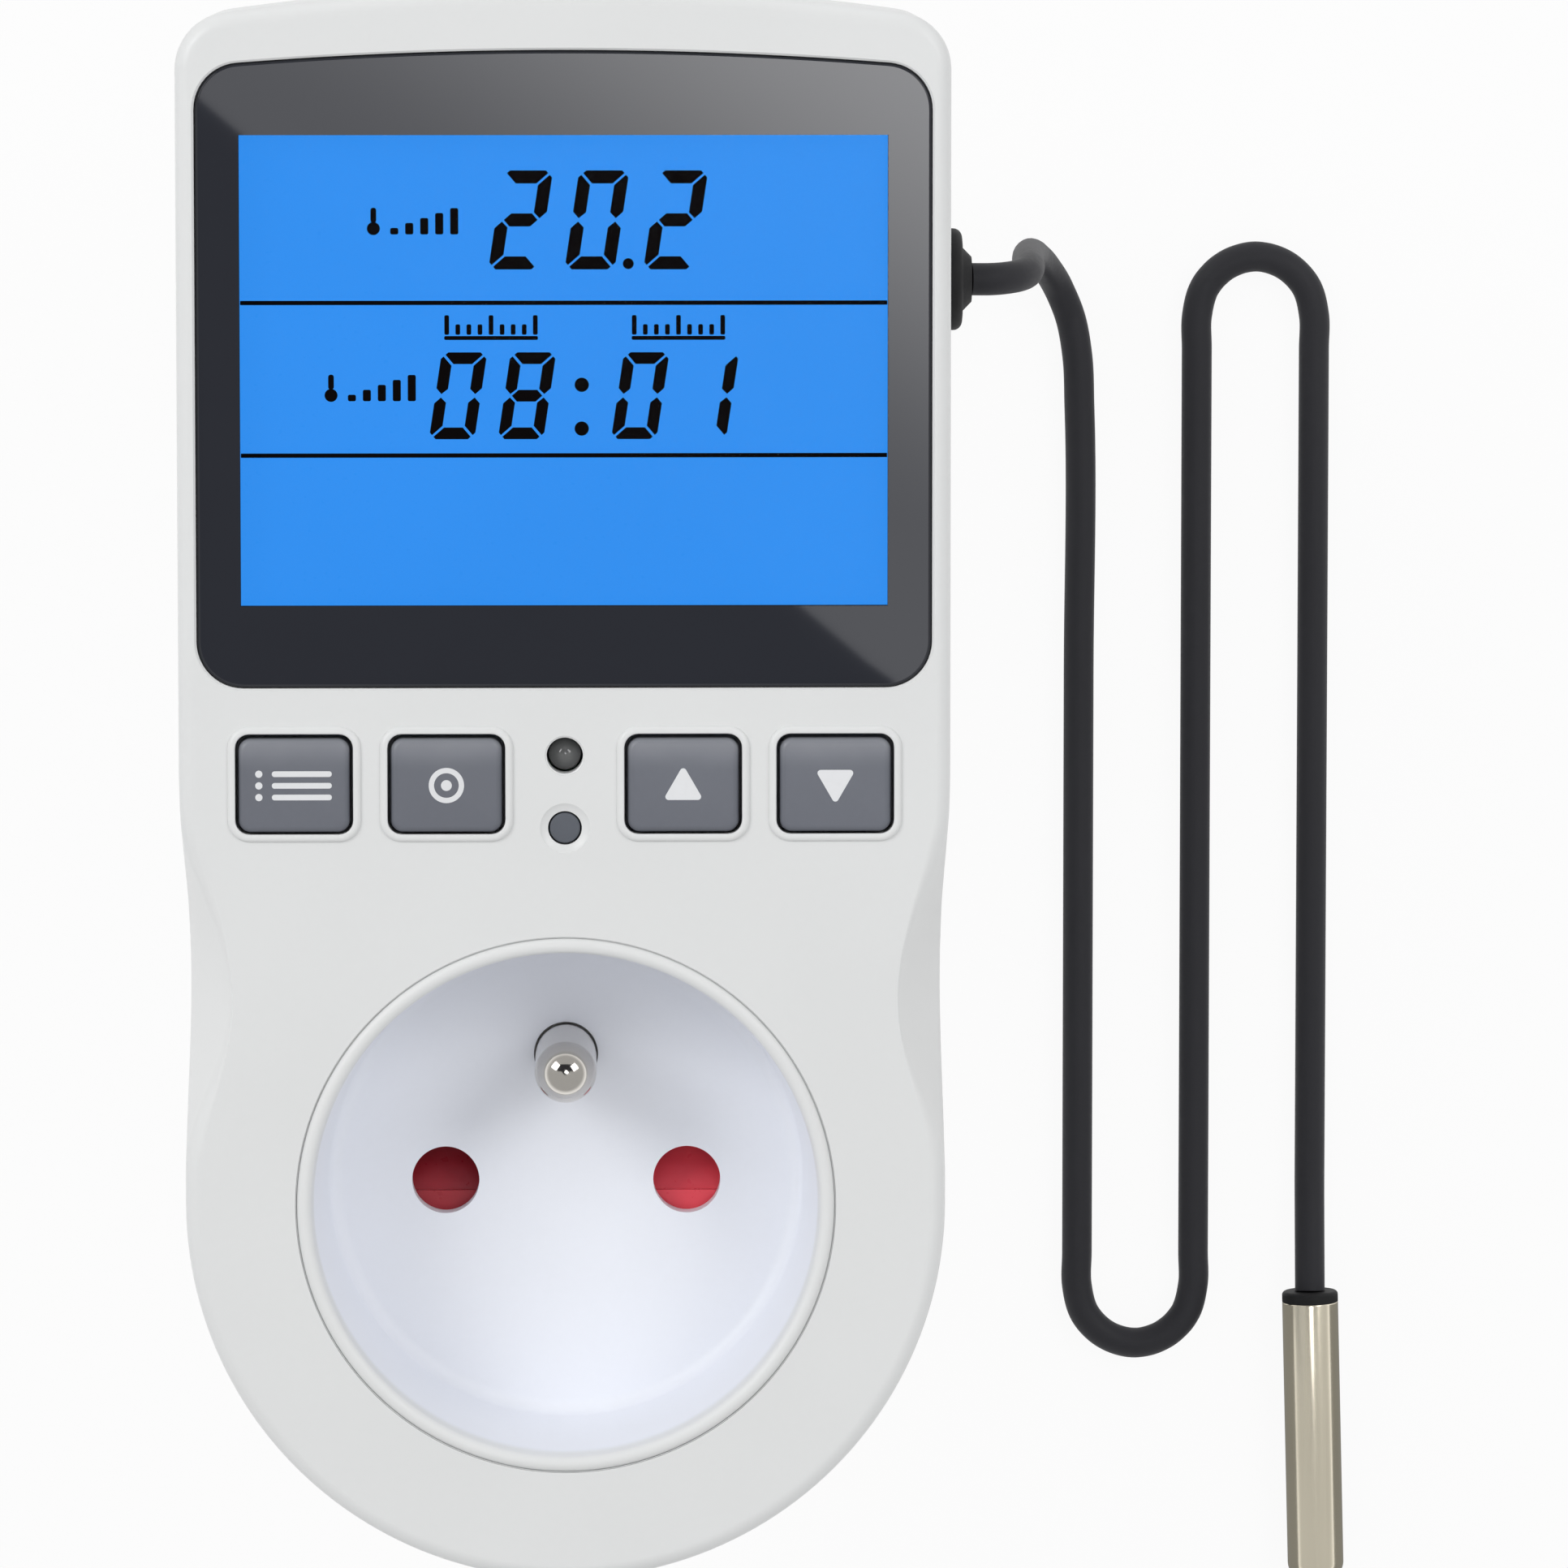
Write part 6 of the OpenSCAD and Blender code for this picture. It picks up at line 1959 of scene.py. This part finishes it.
@dataclass
class TurnedPart:
    """A round part that replaces a CAD node: a profile turned about an axis."""

    name: str
    node: str
    slot: str
    profile: np.ndarray
    centre: tuple[float, float, float]
    steps: int = 72
    sideways: bool = False
    closed: bool = False

    def build(self) -> None:
        """Turns the profile, about Z or, sideways, about X."""
        shape = Shape().turned(self.profile * MM, (0, 0, 0), self.steps, self.closed)
        spin = np.array([[0, 0, 1], [0, 1, 0], [-1, 0, 0]]) if self.sideways else np.eye(3)
        offset = np.array(self.centre) * MM
        shape.points = [points @ spin.T + offset for points in shape.points]
        settle(shape.mesh(self.name), self.slot, replaced=[self.node])


@dataclass
class RoundParts:
    """Lamps, gland and earth pin: every turned part that shows."""

    lamp_foot: tuple[float, float] = (44.4, 1.0)
    lamp_rim: float = 0.35
    lamp_edge: float = 0.15
    domed: tuple[float, float, float] = (34.9, 1.28, 52.0)
    flat: tuple[float, float, float] = (29.3, 1.18, 52.7)
    pin_r: float = 2.4
    pin_neck: tuple[float, float] = (2.1, 38.3)
    pin_stud: tuple[float, float] = (1.5, 19.0)
    pin_flange: tuple[float, float] = (3.6, 22.0)
    pin_y: float = 10.0
    gland_bore: float = 1.305
    gland_place: tuple[float, float, float] = (26.6, 70.8, 35.0)
    gland_flange: tuple[float, float] = (3.7, 1.2)
    gland_neck: tuple[float, float] = (2.8, 3.3)
    gland_head: tuple[float, float] = (3.3, 0.6)
    gland_round: float = 0.7
    gland_nose: tuple[float, float, float] = (2.55, 1.775, 0.75)

    def lamp(self, name: str, node: str, place: Sequence[float], dome: bool) -> TurnedPart:
        """A lamp on the board, with a domed or a flat top.

        Args:
            name: The piece's name.
            node: The CAD node that it replaces.
            place: Its y, radius and top in millimetres.
            dome: Whether its top is a dome.

        Returns:
            The lamp.
        """
        (y, r, top), (base, foot), edge = place, self.lamp_foot, self.lamp_edge
        foot_r = r + self.lamp_rim
        crown = arc((0, top - r), r, 0, 90, 16)
        if not dome:
            crown = np.concatenate([arc((r - edge, top - edge), edge, 0, 90, 4), [[0, top]]])
        profile = np.concatenate([
            [[0, base], [foot_r, base], [foot_r, base + foot], [r, base + foot]], crown
        ])
        return TurnedPart(name, node, "lamp_resin" if dome else "matte_lamp", profile, (0, y, 0))

    def pin(self, name: str, node: str) -> TurnedPart:
        """The earth pin: stud, flange, neck, then a shank with a round tip.

        Args:
            name: The piece's name.
            node: The CAD node that it replaces.

        Returns:
            The pin.
        """
        low, high = (corner.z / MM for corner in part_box(node))
        r, (neck, neck_z), (stud, stud_z) = self.pin_r, self.pin_neck, self.pin_stud
        flange, flange_z = self.pin_flange
        profile = np.concatenate([
            [[0, low], [stud, low], [stud, stud_z], [flange, stud_z], [flange, flange_z],
             [neck, flange_z], [neck, neck_z], [r, neck_z]],
            arc((0, high - r), r, 0, 90, 20),
        ])
        return TurnedPart(name, node, "nickel_plate", profile, (0, self.pin_y, 0))

    def gland(self) -> TurnedPart:
        """The gland: inner flange, neck, outer flange with a round edge, nose and bore.

        Returns:
            The gland.
        """
        bore, (flange, flange_x), (neck, seat) = self.gland_bore, self.gland_flange, self.gland_neck
        (head, rise), (nose, tip, nose_l) = self.gland_head, self.gland_nose
        face = seat + rise + self.gland_round
        profile = np.concatenate([
            [[bore, 0.0], [flange, 0.0], [flange, flange_x], [neck, flange_x], [neck, seat],
             [head + self.gland_round, seat]],
            arc((head, seat + rise), self.gland_round, 0, 90, 8),
            [[nose, face], [tip, face + nose_l], [bore, face + nose_l]],
        ])
        return TurnedPart("gland", "cable_gland", "gland_rubber", profile, self.gland_place,
                          sideways=True, closed=True)

    def build(self) -> None:
        """Builds every round part."""
        for part in (
            self.lamp("dark_lamp", "upper_lamp", self.domed, True),
            self.lamp("plain_lamp", "lower_lamp", self.flat, False),
            self.gland(),
            self.pin("earth_post", "earth_pin"),
        ):
            part.build()


@dataclass
class ClosingSpring:
    """The shutter's closing spring, wound at one fixed length, though the real spring shortens as the
    shutter slides back.
    """

    coil_r: float = 1.2
    wire_r: float = 0.2
    turns: int = 7
    turn_steps: int = 24
    sides: int = 10
    travel: float = 6.0

    def build(self) -> None:
        """Winds x = r cos, z = r sin with y growing evenly."""
        low, high = (np.array(corner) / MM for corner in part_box("shutter_spring"))
        turn = np.linspace(0, 2 * np.pi * self.turns, self.turn_steps * self.turns + 1)
        middle, length = (low + high) / 2, high[1] - low[1]
        route = np.column_stack([
            self.coil_r * np.cos(turn),
            np.linspace(low[1] + self.wire_r, high[1] - self.wire_r, len(turn)),
            middle[2] + self.coil_r * np.sin(turn),
        ])
        rings = tube_rings(route * MM, self.wire_r * MM, self.sides)
        made = settle(Shape().grid(rings).mesh("closing_spring"), "spring_steel",
                      replaced=["shutter_spring"])
        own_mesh(made)


class InnerParts:
    """CAD nodes that keep their shape and get a made finish."""

    def build(self) -> None:
        """Gives every shown CAD node the finish of its slot."""
        for part in frame["record"]["subparts"]:
            made = NODES[part["node"]]
            if made.hide_render:
                continue
            for place in made.material_slots:
                place.material = Finishes.get(part["material_slot"])
            log.info("%s: CAD node in %s", part["node"], part["material_slot"])


def main() -> None:
    """Builds the studio and every piece in order."""
    logging.basicConfig(level=logging.INFO, format="%(name)s %(message)s")
    for section in (
        Studio(), SensorCord(), FrontShell(), RearShell(), PlugShell(), HousingScrews(),
        SocketRecess(), DisplayWindow(), KeyRow(), RoundParts(), ClosingSpring(), InnerParts(),
    ):
        log.info("building %s", type(section).__name__)
        section.build()


if __name__ == "__main__":
    main()
